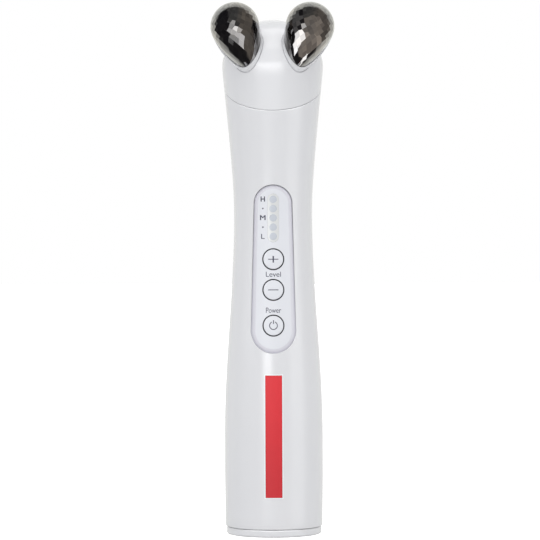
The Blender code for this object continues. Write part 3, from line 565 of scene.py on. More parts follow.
def buildFrontShell():
    shell = shellHalf("frontShell", True)
    outline = (panel["low"], panel["high"], panel["lowRadius"], panel["highRadius"])
    margin = 2 * panel["floorMargin"]
    skin = (panel["low"] - margin, panel["high"] + margin)
    shift, halfWidths, pitches = panel["axisShift"], panel["halfWidths"], panel["pitches"]
    depths = (body["wall"] / 2, panel["floorLow"])
    floor = skinArc("panelFloor", *skin, *depths, shift, halfWidths["floor"], pitches["floor"])
    combine(floor, slotSolid("floorOutline", *outline, grow=panel["floorMargin"]), "INTERSECT")
    combine(shell, floor, "UNION")
    depths = (-beyond["skin"], panel["floorHigh"])
    recess = skinArc("panelRecess", *skin, *depths, shift, halfWidths["recess"], pitches["recess"])
    combine(recess, slotSolid("recessOutline", *outline, grow=body["gap"]), "INTERSECT")
    lip = capsuleOutline(*outline, grow=body["gap"])
    carve(shell, recess, bandCutter("panelLip", lip, panel["lipCut"], upright, bodyDrape))
    seat = button["flangeSeat"] + panel["recess"] - panel["floorLow"]
    deep, room = -button["holeDepth"], button["flangeRadius"] + button["flangeRoom"]
    for name, height in buttonHeights.items():
        place = panelFrame(height)
        carve(shell, rodAt(name + "Hole", button["hole"], deep, 0, place))
        carve(shell, rodAt(name + "Room", room, deep, seat, place))
    carve(shell, windowSlot("slotRoom", -levels["ledge"]))
    carve(shell, stripSheet("stripPocket", strip["slit"], -beyond["skin"], strip["depth"] + strip["bed"]))
    shade(shell, body["smooth"])
    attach(shell, "handle")
    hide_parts("front_shell")
    return shell


frontShell = buildFrontShell()
rearShell = buildRearShell()
print("2 handle shells turned, split and opened for the panel")


# Rollers in their cups

roller = {
    "radius": 0.00885,
    "length": 0.0248,
    "endRadius": 0.0026,
    "bulgeRadius": 0.0380,
    "axisShares": (0.372, -0.268, 1),
    "place": (0.008177, -0.0132, 0.1709),
    "facets": 24,
    "facetEdge": 0.00004,
    "smoothTip": 0.0022,
    "tipRound": 0.0005,
    "tipFrom": 0.75,  # share of the length at which the smooth tip's outline starts
    "tipPitch": 0.0002,
    "tipFlare": 0.0003,  # how far the smooth tip's outline leaves the facets
    "tipFlareOver": 0.003,  # over this height
    "capLow": 0.024362,
    "capInsets": (0.00075, 0.0008, 0.0007),
    "cupGap": 0.00008,
    "cupWall": 0.00088,
    "lipSteps": ((0.0, 0.00045), (0.00018, 0.00085)),  # drawn in from the cup's outside, raised off the dome
    "creaseWidth": 0.00024,
    "creaseDepth": 0.00050,
    "rimCrossing": 0.0034,
    "rimRake": radians(21),
    "rimSplay": radians(-2),
    "rimCut": 0.00022,
    "cupSteps": 96,
    "sealHole": 0.00225,
    "sealDepth": 0.004,
    "facetFoot": 0.0011,
    "facetDepth": 0.0006,
    "smooth": 4,
}


def rollerFrame(side):
    # at the narrow end, local Z out along the axis and local Y to the front
    splay, lean, rise = roller["axisShares"]
    axis = Vector((side * splay, lean, rise)).normalized()
    front = Vector((0, -1, 0))
    front = (front - axis * front.dot(axis)).normalized()
    turn = Matrix((front.cross(axis), front, axis)).transposed()
    out, ahead, up = roller["place"]
    return moved(side * out, ahead, up) @ turn.to_4x4()


def rimFrame(side):
    tilt = Matrix.Rotation(pi / 2 - roller["rimRake"], 4, "X")
    splay = Matrix.Rotation(side * roller["rimSplay"], 4, "Z")
    return rollerFrame(side) @ moved(z=roller["rimCrossing"]) @ splay @ tilt.inverted()


wideU = roller["length"] - roller["radius"]
bulgeNear, bulgeFar = roller["bulgeRadius"], roller["bulgeRadius"] - roller["radius"]
bulgeSpan = hypot(wideU, roller["endRadius"])
bulgeAlong = (bulgeNear ** 2 - bulgeFar ** 2 + bulgeSpan ** 2) / (2 * bulgeSpan)
bulgeAcross = sqrt(bulgeNear ** 2 - bulgeAlong ** 2)
flankU = bulgeAlong * wideU / bulgeSpan - bulgeAcross * roller["endRadius"] / bulgeSpan
flankR = roller["endRadius"] - bulgeAlong * roller["endRadius"] / bulgeSpan - bulgeAcross * wideU / bulgeSpan
wideTurn = atan2(-flankR, wideU - flankU)


def rollerOutline(u, offset=0):
    edge = wideU + (roller["radius"] + offset) * cos(wideTurn)
    if u > edge:
        return sqrt(max((roller["radius"] + offset) ** 2 - (u - wideU) ** 2, 0))
    return flankR + sqrt((roller["bulgeRadius"] + offset) ** 2 - (u - flankU) ** 2)


def dropProfile(offset, rings=36):
    # wide round end, bulging flank and a rounded narrow end
    high, low = roller["length"] + offset, -offset
    heights = [high - (high - low) * (1 - cos(pi * i / (2 * rings))) for i in range(1, rings + 1)]
    return [(0, high)] + [(rollerOutline(u, offset), u) for u in heights] + [(0, low)]


def tipProfile():
    # inside the facets at the narrow end, which it rounds off, and clear of them above
    top, corner = roller["smoothTip"], roller["tipRound"]
    within = cos(pi / roller["facets"])
    over, coarse, pitch, turns = 0.001, 0.0005, roller["tipPitch"], 8
    points = [(0, roller["length"] + over), (roller["radius"] + over, roller["length"] + over)]
    for u in stepsBetween(roller["length"] * roller["tipFrom"], top, coarse):
        flare = roller["tipFlare"] * ((u - top) / roller["tipFlareOver"]) ** 2
        points.append((rollerOutline(u) * within + flare, u))
    points += [(rollerOutline(u) * within, u) for u in stepsBetween(top - pitch, corner, pitch)]
    edge = rollerOutline(corner) * within
    return points + [(edge - corner * drawn, corner * (1 - along)) for along, drawn in quarterTurn(turns)] + [(0, 0)]


def cupEgg(name, side, offset):
    return turnProfile(name, dropProfile(offset), roller["cupSteps"], rollerFrame(side))


def rimOutline(side, offset, count=160, rounds=40):
    # where the cup's trimming plane meets an egg around the roller
    toAxis = rollerFrame(side).inverted() @ rimFrame(side)
    points = []
    for i in range(count):
        angle = fullTurn * i / count
        near, far = 0, beyond["side"]
        for _ in range(rounds):
            middle = (near + far) / 2
            spot = toAxis @ Vector((middle * cos(angle), middle * sin(angle), 0))
            inside = -offset < spot.z < roller["length"] + offset
            inside = inside and hypot(spot.x, spot.y) < rollerOutline(spot.z, offset)
            near, far = (middle, far) if inside else (near, middle)
        points.append((near * cos(angle), near * sin(angle)))
    return points


def buildHeadCover():
    low = body["seamHeight"] - body["headStock"]
    cover = turnProfile("headCover", domeProfile(low))
    carve(cover, turnProfile("headCavity", domeProfile(low - beyond["skin"], body["wall"], rings=14), steps=64))
    gap, wall = roller["cupGap"], roller["cupWall"]
    for side in sideNames:
        crease = cupEgg("cupCrease", side, gap + wall + roller["creaseWidth"])
        carve(crease, turnProfile("creaseFloor", domeProfile(low - beyond["skin"] / 2, roller["creaseDepth"])))
        carve(cover, crease)
        rim = rimFrame(side)
        cup = cupEgg("cup", side, gap + wall)
        carve(cup, layerAt("cupMouth", 0, beyond["side"], rim))
        carve(cup, bandCutter("rimOuter", rimOutline(side, gap + wall), roller["rimCut"], rim))
        carve(cup, bandCutter("rimInner", rimOutline(side, gap), roller["rimCut"], rim))
        combine(cover, cup, "UNION")
        for drawnIn, raised in roller["lipSteps"]:
            lip = cupEgg("cupLip", side, gap + wall - drawnIn)
            combine(lip, turnProfile("lipHeight", domeProfile(low, -raised)), "INTERSECT")
            combine(cover, lip, "UNION")
    edge, far = body["gap"] / 2, 0.06
    carve(cover, layerAt("belowHead", -far, edge, seamFrame, far))
    carve(cover, bandCutter("headLip", seamOutline(), body["lipCut"] + edge, seamFrame))
    for side in sideNames:
        carve(cover, cupEgg("cupRoom", side, gap))
        carve(cover, rodAt("sealHole", roller["sealHole"], -roller["sealDepth"], 0, rollerFrame(side), facets=48))
    shade(cleanMesh(cover), body["headSmooth"])
    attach(cover, "handle")
    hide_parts("head_cover")
    return cover


facetDraws = random.Random(24)
facetTones = {
    "spread": 0.7,
    "paintedShadeInward": (0.45, 0.3),  # painted shade, darker towards the other roller: from this share of the radius, over this much
    "below": (0.0165, 0.004),  # and under this height along the axis, over this much
}


def buildRoller(side):
    name = "roller_" + sideNames[side]
    piece = copyPiece(nodes[name], "facetedRoller" + sideNames[side].title())
    mergeFlats(piece, weld=1e-6, angle=0.4)
    toAxis = rollerFrame(side).inverted()
    foot, depth, tip = roller["facetFoot"], roller["facetDepth"], roller["tipRound"] + roller["tipPitch"]

    def ends(edge):
        return [toAxis @ piece.data.vertices[i].co for i in edge.vertices]

    def onFacets(edge):
        return all(p.z > foot and hypot(p.x, p.y) > rollerOutline(p.z) - depth for p in ends(edge))

    editParts(piece, "EDGE", onFacets)
    bpy.ops.mesh.bevel(offset=roller["facetEdge"], segments=1, affect="EDGES")
    objectMode()
    axis = (rollerFrame(side) @ Vector((0, 0, 1, 0))).to_3d()
    # the flat end is domed
    editParts(piece, "FACE", lambda face: face.area > 1e-5 and face.normal.dot(axis) > 0.9999)
    height = roller["capLow"]
    reach = sqrt(roller["radius"] ** 2 - (height - wideU) ** 2)
    for step in roller["capInsets"]:
        bpy.ops.mesh.inset(thickness=step, depth=0)
        reach -= step
        rise = wideU + sqrt(roller["radius"] ** 2 - reach ** 2) - height
        bpy.ops.transform.translate(value=axis * rise)
        height += rise
    objectMode()
    combine(piece, turnProfile("tipEnvelope", tipProfile(), steps=120, place=rollerFrame(side)), "INTERSECT")
    shade(piece, roller["smooth"])
    editParts(piece, "EDGE", lambda edge: all(p.z < tip for p in ends(edge)))
    bpy.ops.mesh.mark_sharp(clear=True)
    objectMode()
    # each facet gets a random tone, and the facets on the inner, lower side a painted shade where the cup and dome
    # would shade them
    tones = piece.data.attributes.new("facetToneAndShade", "FLOAT", "FACE")
    share, shareOver = facetTones["paintedShadeInward"]
    top, topOver = facetTones["below"]
    for tone, face in zip(tones.data, piece.data.polygons):
        centre = toAxis @ face.center
        paintedShadeInward = clamp((side * centre.x / rollerOutline(centre.z) - share) / shareOver)
        tone.value = facetDraws.random() * facetTones["spread"] + paintedShadeInward * clamp((top - centre.z) / topOver)
    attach(piece, name)
    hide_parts(name)
    return piece


headCover = buildHeadCover()
rollers = [buildRoller(side) for side in sideNames]
print("3 head cover, cups and faceted rollers")


# Control panel, level window, lenses, buttons and marks

def edgeDistance(x, z, limit=clamp):
    # how far a point of the panel lies inside its outline, for numbers and for shader sums
    lowCentre, highCentre = panel["low"] + panel["lowRadius"], panel["high"] - panel["highRadius"]
    share = limit((z - lowCentre) / (highCentre - lowCentre))
    centre = share * (highCentre - lowCentre) + lowCentre
    radius = share * (panel["highRadius"] - panel["lowRadius"]) + panel["lowRadius"]
    return radius - (x ** 2 + (z - centre) ** 2) ** 0.5


def bandSink(x, z):
    share = clamp(1 - edgeDistance(x, z) / panel["bandWidth"])
    rounded = clamp(1 - edgeDistance(x, z) / panel["edgeWidth"])
    return panel["bandDrop"] * share ** panel["bandPower"] + panel["edgeDrop"] * rounded ** 2


def faceSheet(name, low, high, halfWidth, outline):
    # a slice of the handle as thick as the panel, cut to an outline
    outer, inner = panel["recess"], panel["recess"] + panel["thickness"]
    return combine(skinArc(name, low, high, outer, inner, panel["axisShift"], halfWidth), outline, "INTERSECT")


def buildPanel():
    low, high, grow = panel["low"], panel["high"], panel["lowGrow"]
    outline = slotSolid("panelOutline", low - grow, high, panel["lowRadius"] + grow, panel["highRadius"])
    margin = beyond["skin"]
    sheet = faceSheet("controlPanel", low - margin, high + margin, panel["halfWidths"]["sheet"], outline)
    carve(sheet, windowSlot("windowSlot"))
    for name, height in buttonHeights.items():
        carve(sheet, rodAt(name + "Hole", button["hole"], *button["panelHole"], panelFrame(height), facets=96))
    for point in sheet.data.vertices:
        x, y, z = point.co
        if abs(y - panelSurface(x, z)) < panel["faceReach"]:
            point.co.y += bandSink(x, z)
    shade(cleanMesh(sheet), panel["smooth"])
    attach(sheet, "handle")
    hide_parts("control_panel")
    return sheet


def lensHeights():
    first = (levels["count"] - 1) / 2
    return [levels["middle"] + (first - i) * levels["pitch"] for i in range(levels["count"])]


def buildWindow():
    low, high = windowSpan()
    margin, bore = levels["windowMargin"], levels["lensRadius"] + levels["slit"] / 2
    outline = windowSlot("windowOutline", -levels["slit"])
    sheet = faceSheet("levelWindow", low - margin, high + margin, levels["windowHalfWidth"], outline)
    for height in lensHeights():
        carve(sheet, rodAt("lensHole", bore, 0, beyond["front"], moved(z=height) @ upright))
    shade(cleanMesh(sheet), panel["smooth"])
    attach(sheet, "handle")
    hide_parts("level_window")
    return sheet


def buildLenses():
    # one lens is turned, then copied down the window
    radius, length, bevel = levels["lensRadius"], levels["lensLength"], levels["lensBevel"]
    profile = [(radius * share, rise) for share, rise in levels["lensDome"]]
    profile += [(radius - drawn, -down) for drawn, down in levels["lensEdge"]]
    profile += [(radius, bevel - length), (radius - bevel, -length), (0, -length)]
    first = turnProfile("levelLens", profile, steps=64)
    lenses = []
    for i, height in enumerate(lensHeights()):
        name = f"levelLens{i + 1}"
        lens = copyPiece(first, name)
        placeMesh(lens, moved(0, panelSurface(0, height), height) @ upright)
        shade(lens, levels["smooth"])
        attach(lens, "handle")
        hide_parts(f"level_lens_{i + 1}")
        lenses.append(lens)
    drop(first)
    return lenses


def crownAt(distance):
    reach = button["radius"] - button["edge"]
    return button["crown"] * (1 - (distance / reach) ** 2)


def buildButton(name, height):
    # domed cap with a rolled edge, a flange that keeps it in and a plunger
    radius, edge = button["radius"], button["edge"]
    flange, plunger = button["flangeRadius"], button["plungerRadius"]
    lowest = (panelFrame(height).inverted() @ Vector((0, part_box(name + "_button")[1].y, height))).z
    seat = button["flangeSeat"] + panel["recess"] - panel["floorLow"] - body["gap"]
    under, reach, rings, turns = seat - button["flangeThickness"], radius - edge, 8, 6
    profile = [(reach * i / rings, crownAt(reach * i / rings)) for i in range(rings + 1)]
    profile += [(reach + edge * along, -edge * drawn) for along, drawn in quarterTurn(turns)]
    profile += [(radius, seat), (flange, seat), (flange, under), (plunger, under), (plunger, lowest), (0, lowest)]
    cap = turnProfile(name + "Button", profile, steps=96, place=panelFrame(height))
    shade(cap, button["smooth"])
    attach(cap, name + "_button")
    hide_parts(name + "_button")
    return cap


marks = {
    "proud": 0.000012,
    "depth": 0.00006,
    "letters": (  # word, middle x, middle z, width, height, weight
        ("H", -0.00372, 0.12296, 0.00160, 0.00186, 0.030),
        ("M", -0.00374, 0.11622, 0.00205, 0.00180, 0.026),
        ("L", -0.00372, 0.10940, 0.00128, 0.00180, 0.006),
        ("Level", 0.00003, 0.09568, 0.00545, 0.00184, 0.002),
        ("Power", 0.00005, 0.08265, 0.00552, 0.00190, 0.002),
    ),
    "dots": ((-0.00372, 0.11955), (-0.00372, 0.11275)),
    "dotRadius": 0.00028,
    "barLength": 0.00372,
    "barWidth": 0.00030,
    "plusRise": 0.00240,
    "plusWidth": 0.00050,
    "iconRadius": 0.00141,
    "iconStroke": 0.00032,
    "iconOpening": radians(27),
    "iconBar": 0.00135,
    "iconBarRise": 0.00130,
    "smooth": 20,
}


def thicken(mark):
    return pushThrough(mark, (0, 0, -marks["depth"]))


def wordMark(word, x, z, width, height, weight):
    # the box of the letters gets the size and place that are given
    bpy.ops.object.text_add()
    text = bpy.context.object
    text.data.body = word
    text.data.offset = weight
    text.data.resolution_u = 6
    focus(text)
    bpy.ops.object.convert(target="MESH")
    mark = named("mark" + word)
    mergeFlats(mark, weld=1e-4, angle=0.5)
    left, right = [end(v.co.x for v in mark.data.vertices) for end in (min, max)]
    foot, head = [end(v.co.y for v in mark.data.vertices) for end in (min, max)]
    middle = moved(-(left + right) / 2, -(foot + head) / 2)
    size = Matrix.Diagonal((width / (right - left), height / (head - foot), 1, 1))
    return thicken(placeMesh(mark, moved(x, z) @ size @ middle))


def ontoPanel(mark):
    # a flat mark in XY is stood up and laid on the panel's curved face
    placeMesh(mark, upright)
    for point in mark.data.vertices:
        point.co.y += panelSurface(point.co.x, point.co.z) - marks["proud"]
    shade(mark, marks["smooth"])
    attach(mark, "handle")
    return mark


def barMark(name, width, height, rise=0):
    # cut across, so that it follows the button's crown
    bpy.ops.mesh.primitive_plane_add(size=1)
    bar = named(name)
    bar.scale = (width, height, 1)
    placeMesh(bar, moved(y=rise))
    editAll(bar, "FACE")
    bpy.ops.mesh.subdivide(number_cuts=8)
    objectMode()
    return thicken(bar)


def ontoButton(mark, name):
    for point in mark.data.vertices:
        point.co.z += crownAt(hypot(point.co.x, point.co.y)) + marks["proud"]
    placeMesh(mark, panelFrame(buttonHeights[name]))
    shade(mark, marks["smooth"])
    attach(mark, name + "_button")
    return mark


def powerIcon():
    # a ring opened at the top, with a bar standing in the opening
    radius, half = marks["iconRadius"], marks["iconStroke"] / 2
    bpy.ops.mesh.primitive_circle_add(vertices=72, radius=radius + half)
    ring = named("powerRing")
    editAll(ring)
    bpy.ops.mesh.extrude_edges_move()
    inner = (radius - half) / (radius + half)
    bpy.ops.transform.resize(value=(inner, inner, inner), center_override=(0, 0, 0))
    objectMode()
    editParts(ring, "FACE", lambda f: abs(atan2(f.center.x, f.center.y)) < marks["iconOpening"])
    bpy.ops.mesh.delete(type="FACE")
    objectMode()
    thicken(ring)
    return combine(ring, barMark("powerBar", marks["iconStroke"], marks["iconBar"], marks["iconBarRise"]), "UNION")


def buildMarks():
    made = [ontoPanel(wordMark(*row)) for row in marks["letters"]]
    for i, (x, z) in enumerate(marks["dots"]):
        dot = discAt(f"markDot{i + 1}", marks["dotRadius"], facets=24, place=moved(x, z))
        made.append(ontoPanel(thicken(dot)))
    plus = barMark("markPlus", marks["barLength"], marks["barWidth"])
    combine(plus, barMark("markPlusRise", marks["plusWidth"], marks["plusRise"]), "UNION")
    made.append(ontoButton(plus, "plus"))
    made.append(ontoButton(barMark("markMinus", marks["barLength"], marks["barWidth"]), "minus"))
    made.append(ontoButton(powerIcon(), "power"))
    return made


controlPanel = buildPanel()
levelWindow = buildWindow()
lenses = buildLenses()
buttons = [buildButton(name, height) for name, height in buttonHeights.items()]
printedMarks = buildMarks()
print("4 panel, window, lenses, buttons and marks")


# Red strip and base cap

cap = {
    "height": 0.0027,
    "radius": 0.01735,
    "floor": 0.0020,
    "edge": 0.0008,
    "lipWidth": 0.00018,
    "lipHeight": 0.00042,
    "spigotTop": 0.0085,
    "spigotWall": 0.0015,
    "fit": 0.0003,
    "ringRadius": 0.0005,
    "ringHeight": 0.0068,
    "play": 0.00015,
    "contactX": 0.0050,
    "contactRadius": 0.0014,
    "bevel": 0.0003,
    "smooth": 14,
}


def buildStrip():
    sheet = stripSheet("redStrip", 0, -strip["proud"], strip["depth"])
    shade(cleanMesh(sheet), panel["smooth"])
    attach(sheet, "handle")
    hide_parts("red_strip")
    return sheet


def buildStripHighlightRim():
    # a thin pale bead around the strip, a painted highlight on the pocket's edge
    slit = strip["slit"]
    rim = stripSheet("stripHighlightRim", slit + strip["rim"], -strip["rimProud"], strip["rimProud"])
    half, low, high = strip["width"] / 2 + slit, strip["low"] - slit, strip["high"] + slit
    carve(rim, blockAt("rimInside", (-half, -beyond["side"], low), (half, strip["over"], high)))
    shade(cleanMesh(rim), panel["smooth"])
    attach(rim, "handle")
    return rim


def buildBaseCap():
    spigot = bodyRadius(cap["height"]) - body["wall"] - cap["fit"]
    inside = spigot - cap["spigotWall"]
    groove = spigot - cap["ringRadius"]
    high = cap["ringHeight"] + cap["ringRadius"] + cap["play"]
    low = cap["ringHeight"] - cap["ringRadius"] - cap["play"]
    radius, edge, bevel, turns = cap["radius"], cap["edge"], cap["bevel"], 8
    floor, foot, top = cap["floor"], cap["height"], cap["spigotTop"]
    profile = [(0, floor), (inside, floor), (inside, top), (spigot - bevel, top), (spigot, top - bevel)]
    profile += [(spigot, high), (groove, high), (groove, low), (spigot, low), (spigot, foot)]
    profile += [(radius - cap["lipWidth"], foot), (radius, foot - cap["lipHeight"])]
    profile += [(radius - edge * drawn, edge - edge * along) for along, drawn in quarterTurn(turns, first=0)]
    piece = turnProfile("baseCap", profile + [(0, 0)])
    hole = (cap["contactRadius"] + cap["play"], -beyond["skin"], floor + beyond["skin"])
    for side in sideNames:
        carve(piece, rodAt("contactHole", *hole, moved(side * cap["contactX"]), facets=48))
    shade(piece, cap["smooth"])
    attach(piece, "handle")
    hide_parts("base_cap")
    return piece


redStrip = buildStrip()
stripHighlightRim = buildStripHighlightRim()
baseCap = buildBaseCap()
print("5 red strip and base cap")


# Shader sums written as Python

class Link:
    # one output socket, so that sums on it add their own nodes
    def __init__(self, graph, socket):
        self.graph = graph
        self.socket = socket

    def __add__(self, other):
        return self.graph.maths("ADD", self, other)

    def __sub__(self, other):
        return self.graph.maths("SUBTRACT", self, other)

    def __mul__(self, other):
        return self.graph.maths("MULTIPLY", self, other)

    def __truediv__(self, other):
        return self.graph.maths("DIVIDE", self, other)

    def __pow__(self, other):
        return self.graph.maths("POWER", self, other)


class Graph:
    def __init__(self, tree):
        self.tree = tree
        tree.nodes.clear()

    def add(self, kind, values=None, output=0, **settings):
        # values go to the inputs, by name or number, and settings to the node itself
        node = self.tree.nodes.new(kind)
        for key, value in settings.items():
            setattr(node, key, value)
        for key, value in (values or {}).items():
            socket = node.inputs[key]
            if isinstance(value, Link):
                self.tree.links.new(value.socket, socket)
            elif hasattr(socket, "default_value") and socket.type == "RGBA" and len(value) == 3:
                socket.default_value = (*value, 1)
            else:
                socket.default_value = value
        return Link(self, node.outputs[output] if node.outputs else None)

    def maths(self, operation, first, second):
        return self.add("ShaderNodeMath", {0: first, 1: second}, operation=operation)

    def clamp(self, value):
        return self.maths("MAXIMUM", self.maths("MINIMUM", value, 1), 0)

    def mix(self, share, first, second):
        return self.add("ShaderNodeMix", {0: share, 6: first, 7: second}, 2, data_type="RGBA")

    def split(self, place):
        # X, Y and Z of a place or direction
        parts = self.add("ShaderNodeSeparateXYZ", {0: place}).socket.node
        return [Link(self, socket) for socket in parts.outputs]

    def noise(self, place, scale, detail=2):
        return self.add("ShaderNodeTexNoise", {"Vector": place, "Scale": scale, "Detail": detail})

    def remap(self, value, low, high, toLow=0, toHigh=1):
        values = {"Value": value, 1: low, 2: high, 3: toLow, 4: toHigh}
        return self.add("ShaderNodeMapRange", values, interpolation_type="SMOOTHSTEP")

    def blend(self, share, first, second):
        return self.add("ShaderNodeMixShader", {0: share, 1: first, 2: second})

    def bump(self, height, strength):
        return self.add("ShaderNodeBump", {"Strength": strength, "Distance": 0.00002, "Height": height})


def newFinish(name, build):
    material = bpy.data.materials.new(name)
    material.use_nodes = True
    graph = Graph(material.node_tree)
    place = graph.add("ShaderNodeTexCoord", output=3)
    surface = graph.add("ShaderNodeBsdfPrincipled", build(graph, place))
    graph.add("ShaderNodeOutputMaterial", {"Surface": surface})
    return material


def paint(piece, *materials):
    piece.data.materials.clear()
    for material in materials:
        piece.data.materials.append(material)


# Plastics, metals and rubbers of this device

shellTone = {"bright": (0.80, 0.80, 0.815), "shade": (0.78, 0.78, 0.80), "rough": 0.23, "grain": 2600}
panelTone = {
    "face": (0.80, 0.81, 0.85),
    # band and edge are a painted shade on the panel's rounded band, darkest at the outline
    "bandShade": (0.72, 0.71, 0.765),
    "edge": (0.60, 0.59, 0.655),
    "rough": 0.36,
    "gloss": 0.2,
}
chromeTone = {
    "warm": (0.60, 0.575, 0.55),
    "cool": (0.54, 0.54, 0.55),
    "deep": (0.26, 0.255, 0.26),
    "shadow": (0.085, 0.080, 0.076),
    "rough": 0.03,
}
# the strip's low tone is a painted shade towards the foot
stripTone = {"low": (0.62, 0.024, 0.034), "high": (0.76, 0.029, 0.040), "rough": 0.50, "gloss": 0.25}
inkTone = {"ink": (0.040, 0.042, 0.078), "worn": (0.064, 0.066, 0.105), "rough": 0.46}
windowTone = {"low": (0.745, 0.755, 0.755), "high": (0.765, 0.775, 0.775), "rough": 0.30, "coat": 0.3}
lensTone = {"low": (0.56, 0.59, 0.655), "high": (0.605, 0.64, 0.69), "rough": 0.33, "coat": 0.2}


def shellFinish(graph, place):
    cloud = graph.noise(place, 45, 3)
    grain = graph.noise(place, shellTone["grain"], 2)
    smudge = graph.noise(place, 160, 3)
    return {
        "Base Color": graph.mix(cloud, shellTone["shade"], shellTone["bright"]),
        "Roughness": smudge * 0.03 + (shellTone["rough"] - 0.015),
        "Normal": graph.bump(grain, 0.05),
    }


def panelFinish(graph, place):
    # the rounded band along the outline gets a painted shade, greyer and darkest at the outline, by the distance to
    # the outline
    cloud = graph.noise(place, 90, 3)
    grain = graph.noise(place, 3200, 2)
    x, _, z = graph.split(place)
    distance = edgeDistance(x, z, graph.clamp)
    inner = graph.remap(distance, panel["bandWidth"] * 0.75, panel["bandWidth"] * 1.1)
    tone = graph.mix(graph.remap(distance, 0.0, panel["bandWidth"] * 0.6), panelTone["edge"], panelTone["bandShade"])
    tone = graph.mix(inner, tone, panelTone["face"])
    return {
        "Base Color": graph.mix(cloud * 0.05, tone, (0.5, 0.5, 0.5)),
        "Roughness": cloud * 0.06 + (panelTone["rough"] - 0.03),
        "Normal": graph.bump(grain, 0.04),
        "Specular IOR Level": panelTone["gloss"],
    }


def chromeFinish(graph, place):
    # each facet is plated a little lighter or darker than the next, and the facets with a painted shade turn to the
    # shadow tone
    smoke = graph.noise(place, 130, 3)
    polish = graph.noise(place, 420, 4)
    facet = graph.add("ShaderNodeAttribute", output=2, attribute_name="facetToneAndShade")
    plating = graph.mix(graph.remap(smoke, 0.3, 0.7), chromeTone["cool"], chromeTone["warm"])
    plating = graph.mix(facet, plating, chromeTone["deep"])
    return {
        "Base Color": graph.mix(graph.remap(facet, 0.75, 1.5), plating, chromeTone["shadow"]),
        "Metallic": 1.0,
        "Roughness": polish * 0.035 + chromeTone["rough"],
    }


def stripFinish(graph, place):
    # darker towards the foot: a painted shade, as the light on the handle falls off downwards
    z = graph.split(place)[2]
    cloud = graph.noise(place, 120, 3)
    grain = graph.noise(place, 3000, 2)
    rise = graph.remap(z + cloud * 0.012, 0.020, 0.060)
    return {
        "Base Color": graph.mix(rise, stripTone["low"], stripTone["high"]),
        "Roughness": cloud * 0.06 + (stripTone["rough"] - 0.03),
        "Normal": graph.bump(grain, 0.05),
        "Specular IOR Level": stripTone["gloss"],
    }


def inkFinish(graph, place):
    wear = graph.noise(place, 2200, 3)
    return {
        "Base Color": graph.mix(graph.remap(wear, 0.45, 0.75), inkTone["ink"], inkTone["worn"]),
        "Roughness": wear * 0.12 + (inkTone["rough"] - 0.06),
    }


def windowFinish(graph, place):
    cloud = graph.noise(place, 300, 3)
    return {
        "Base Color": graph.mix(cloud, windowTone["low"], windowTone["high"]),
        "Roughness": cloud * 0.06 + (windowTone["rough"] - 0.03),
        "Coat Weight": windowTone["coat"],
        "Coat Roughness": 0.15,
    }


def lensFinish(graph, place):
    frost = graph.noise(place, 2600, 3)
    cloud = graph.noise(place, 500, 2)
    return {
        "Base Color": graph.mix(cloud, lensTone["low"], lensTone["high"]),
        "Roughness": frost * 0.10 + (lensTone["rough"] - 0.05),
        "Normal": graph.bump(frost, 0.06),
        "Coat Weight": lensTone["coat"],
    }


def plainFinish(low, high, rough, scale=400):
    # a mottled tone, uneven gloss and a fine grain
    def build(graph, place):
        cloud = graph.noise(place, scale, 3)
        grain = graph.noise(place, 2500, 2)
        return {
            "Base Color": graph.mix(graph.remap(cloud, 0.3, 0.7), low, high),
            "Roughness": grain * 0.10 + (rough - 0.05),
            "Normal": graph.bump(grain, 0.08),
        }
    return build


def boardFinish(graph, place):
    tracks = graph.add("ShaderNodeTexBrick", {"Vector": place, "Scale": 420, "Mortar Size": 0.03}, 1)
    cloud = graph.noise(place, 500, 2)
    solder = graph.mix(cloud, (0.010, 0.085, 0.035), (0.016, 0.120, 0.050))
    return {
        "Base Color": graph.mix(tracks * 0.5, solder, (0.030, 0.210, 0.085)),
        "Roughness": cloud * 0.1 + 0.30,
        "Normal": graph.bump(tracks, 0.25),
    }


def turnedMetal(low, high, rough):
    # fine rings left by the lathe
    def build(graph, place):
        rings = graph.add("ShaderNodeTexWave", {"Vector": place, "Scale": 1500}, 1, bands_direction="Z")
        cloud = graph.noise(place, 600, 3)
        return {
            "Base Color": graph.mix(cloud, low, high),
            "Metallic": 1.0,
            "Roughness": cloud * 0.12 + (rough - 0.06),
            "Normal": graph.bump(rings, 0.08),
        }
    return build


finishes = {
    "shellWhite": shellFinish,
    "panelWhite": panelFinish,
    # dark grey for the light shield, and a painted shade for the gaps round the panel and the buttons
    "keypadGrey": plainFinish((0.064, 0.062, 0.090), (0.092, 0.088, 0.120), 0.60),
    "redInlay": stripFinish,
    # pale bead: a painted highlight around the red strip
    "paleHighlightBead": plainFinish((0.84, 0.93, 0.95), (0.89, 0.97, 0.98), 0.30),
    "darkChrome": chromeFinish,
    "markInk": inkFinish,
    "windowPale": windowFinish,
    "lensFrost": lensFinish,
    "turnedSteel": turnedMetal((0.50, 0.50, 0.51), (0.62, 0.62, 0.63), 0.30),
    "goldBrass": turnedMetal((0.72, 0.50, 0.20), (0.86, 0.62, 0.28), 0.28),
    "frameGrey": plainFinish((0.20, 0.20, 0.21), (0.26, 0.26, 0.27), 0.50),
    "softRubber": plainFinish((0.018, 0.018, 0.019), (0.030, 0.030, 0.032), 0.70),
    "boardGreen": boardFinish,
    "chipBlack": plainFinish((0.012, 0.012, 0.013), (0.024, 0.024, 0.026), 0.45),
    "batteryWrap": plainFinish((0.020, 0.080, 0.360), (0.032, 0.110, 0.450), 0.28, 250),
    "ferrite": plainFinish((0.055, 0.052, 0.050), (0.095, 0.090, 0.085), 0.62),
    "ledLamp": plainFinish((0.80, 0.79, 0.70), (0.86, 0.85, 0.78), 0.30),
    "leadRed": plainFinish((0.48, 0.018, 0.016), (0.58, 0.028, 0.022), 0.45),
    "leadBlack": plainFinish((0.014, 0.014, 0.015), (0.022, 0.022, 0.024), 0.45),
}
finishes = {name: newFinish(name, build) for name, build in finishes.items()}

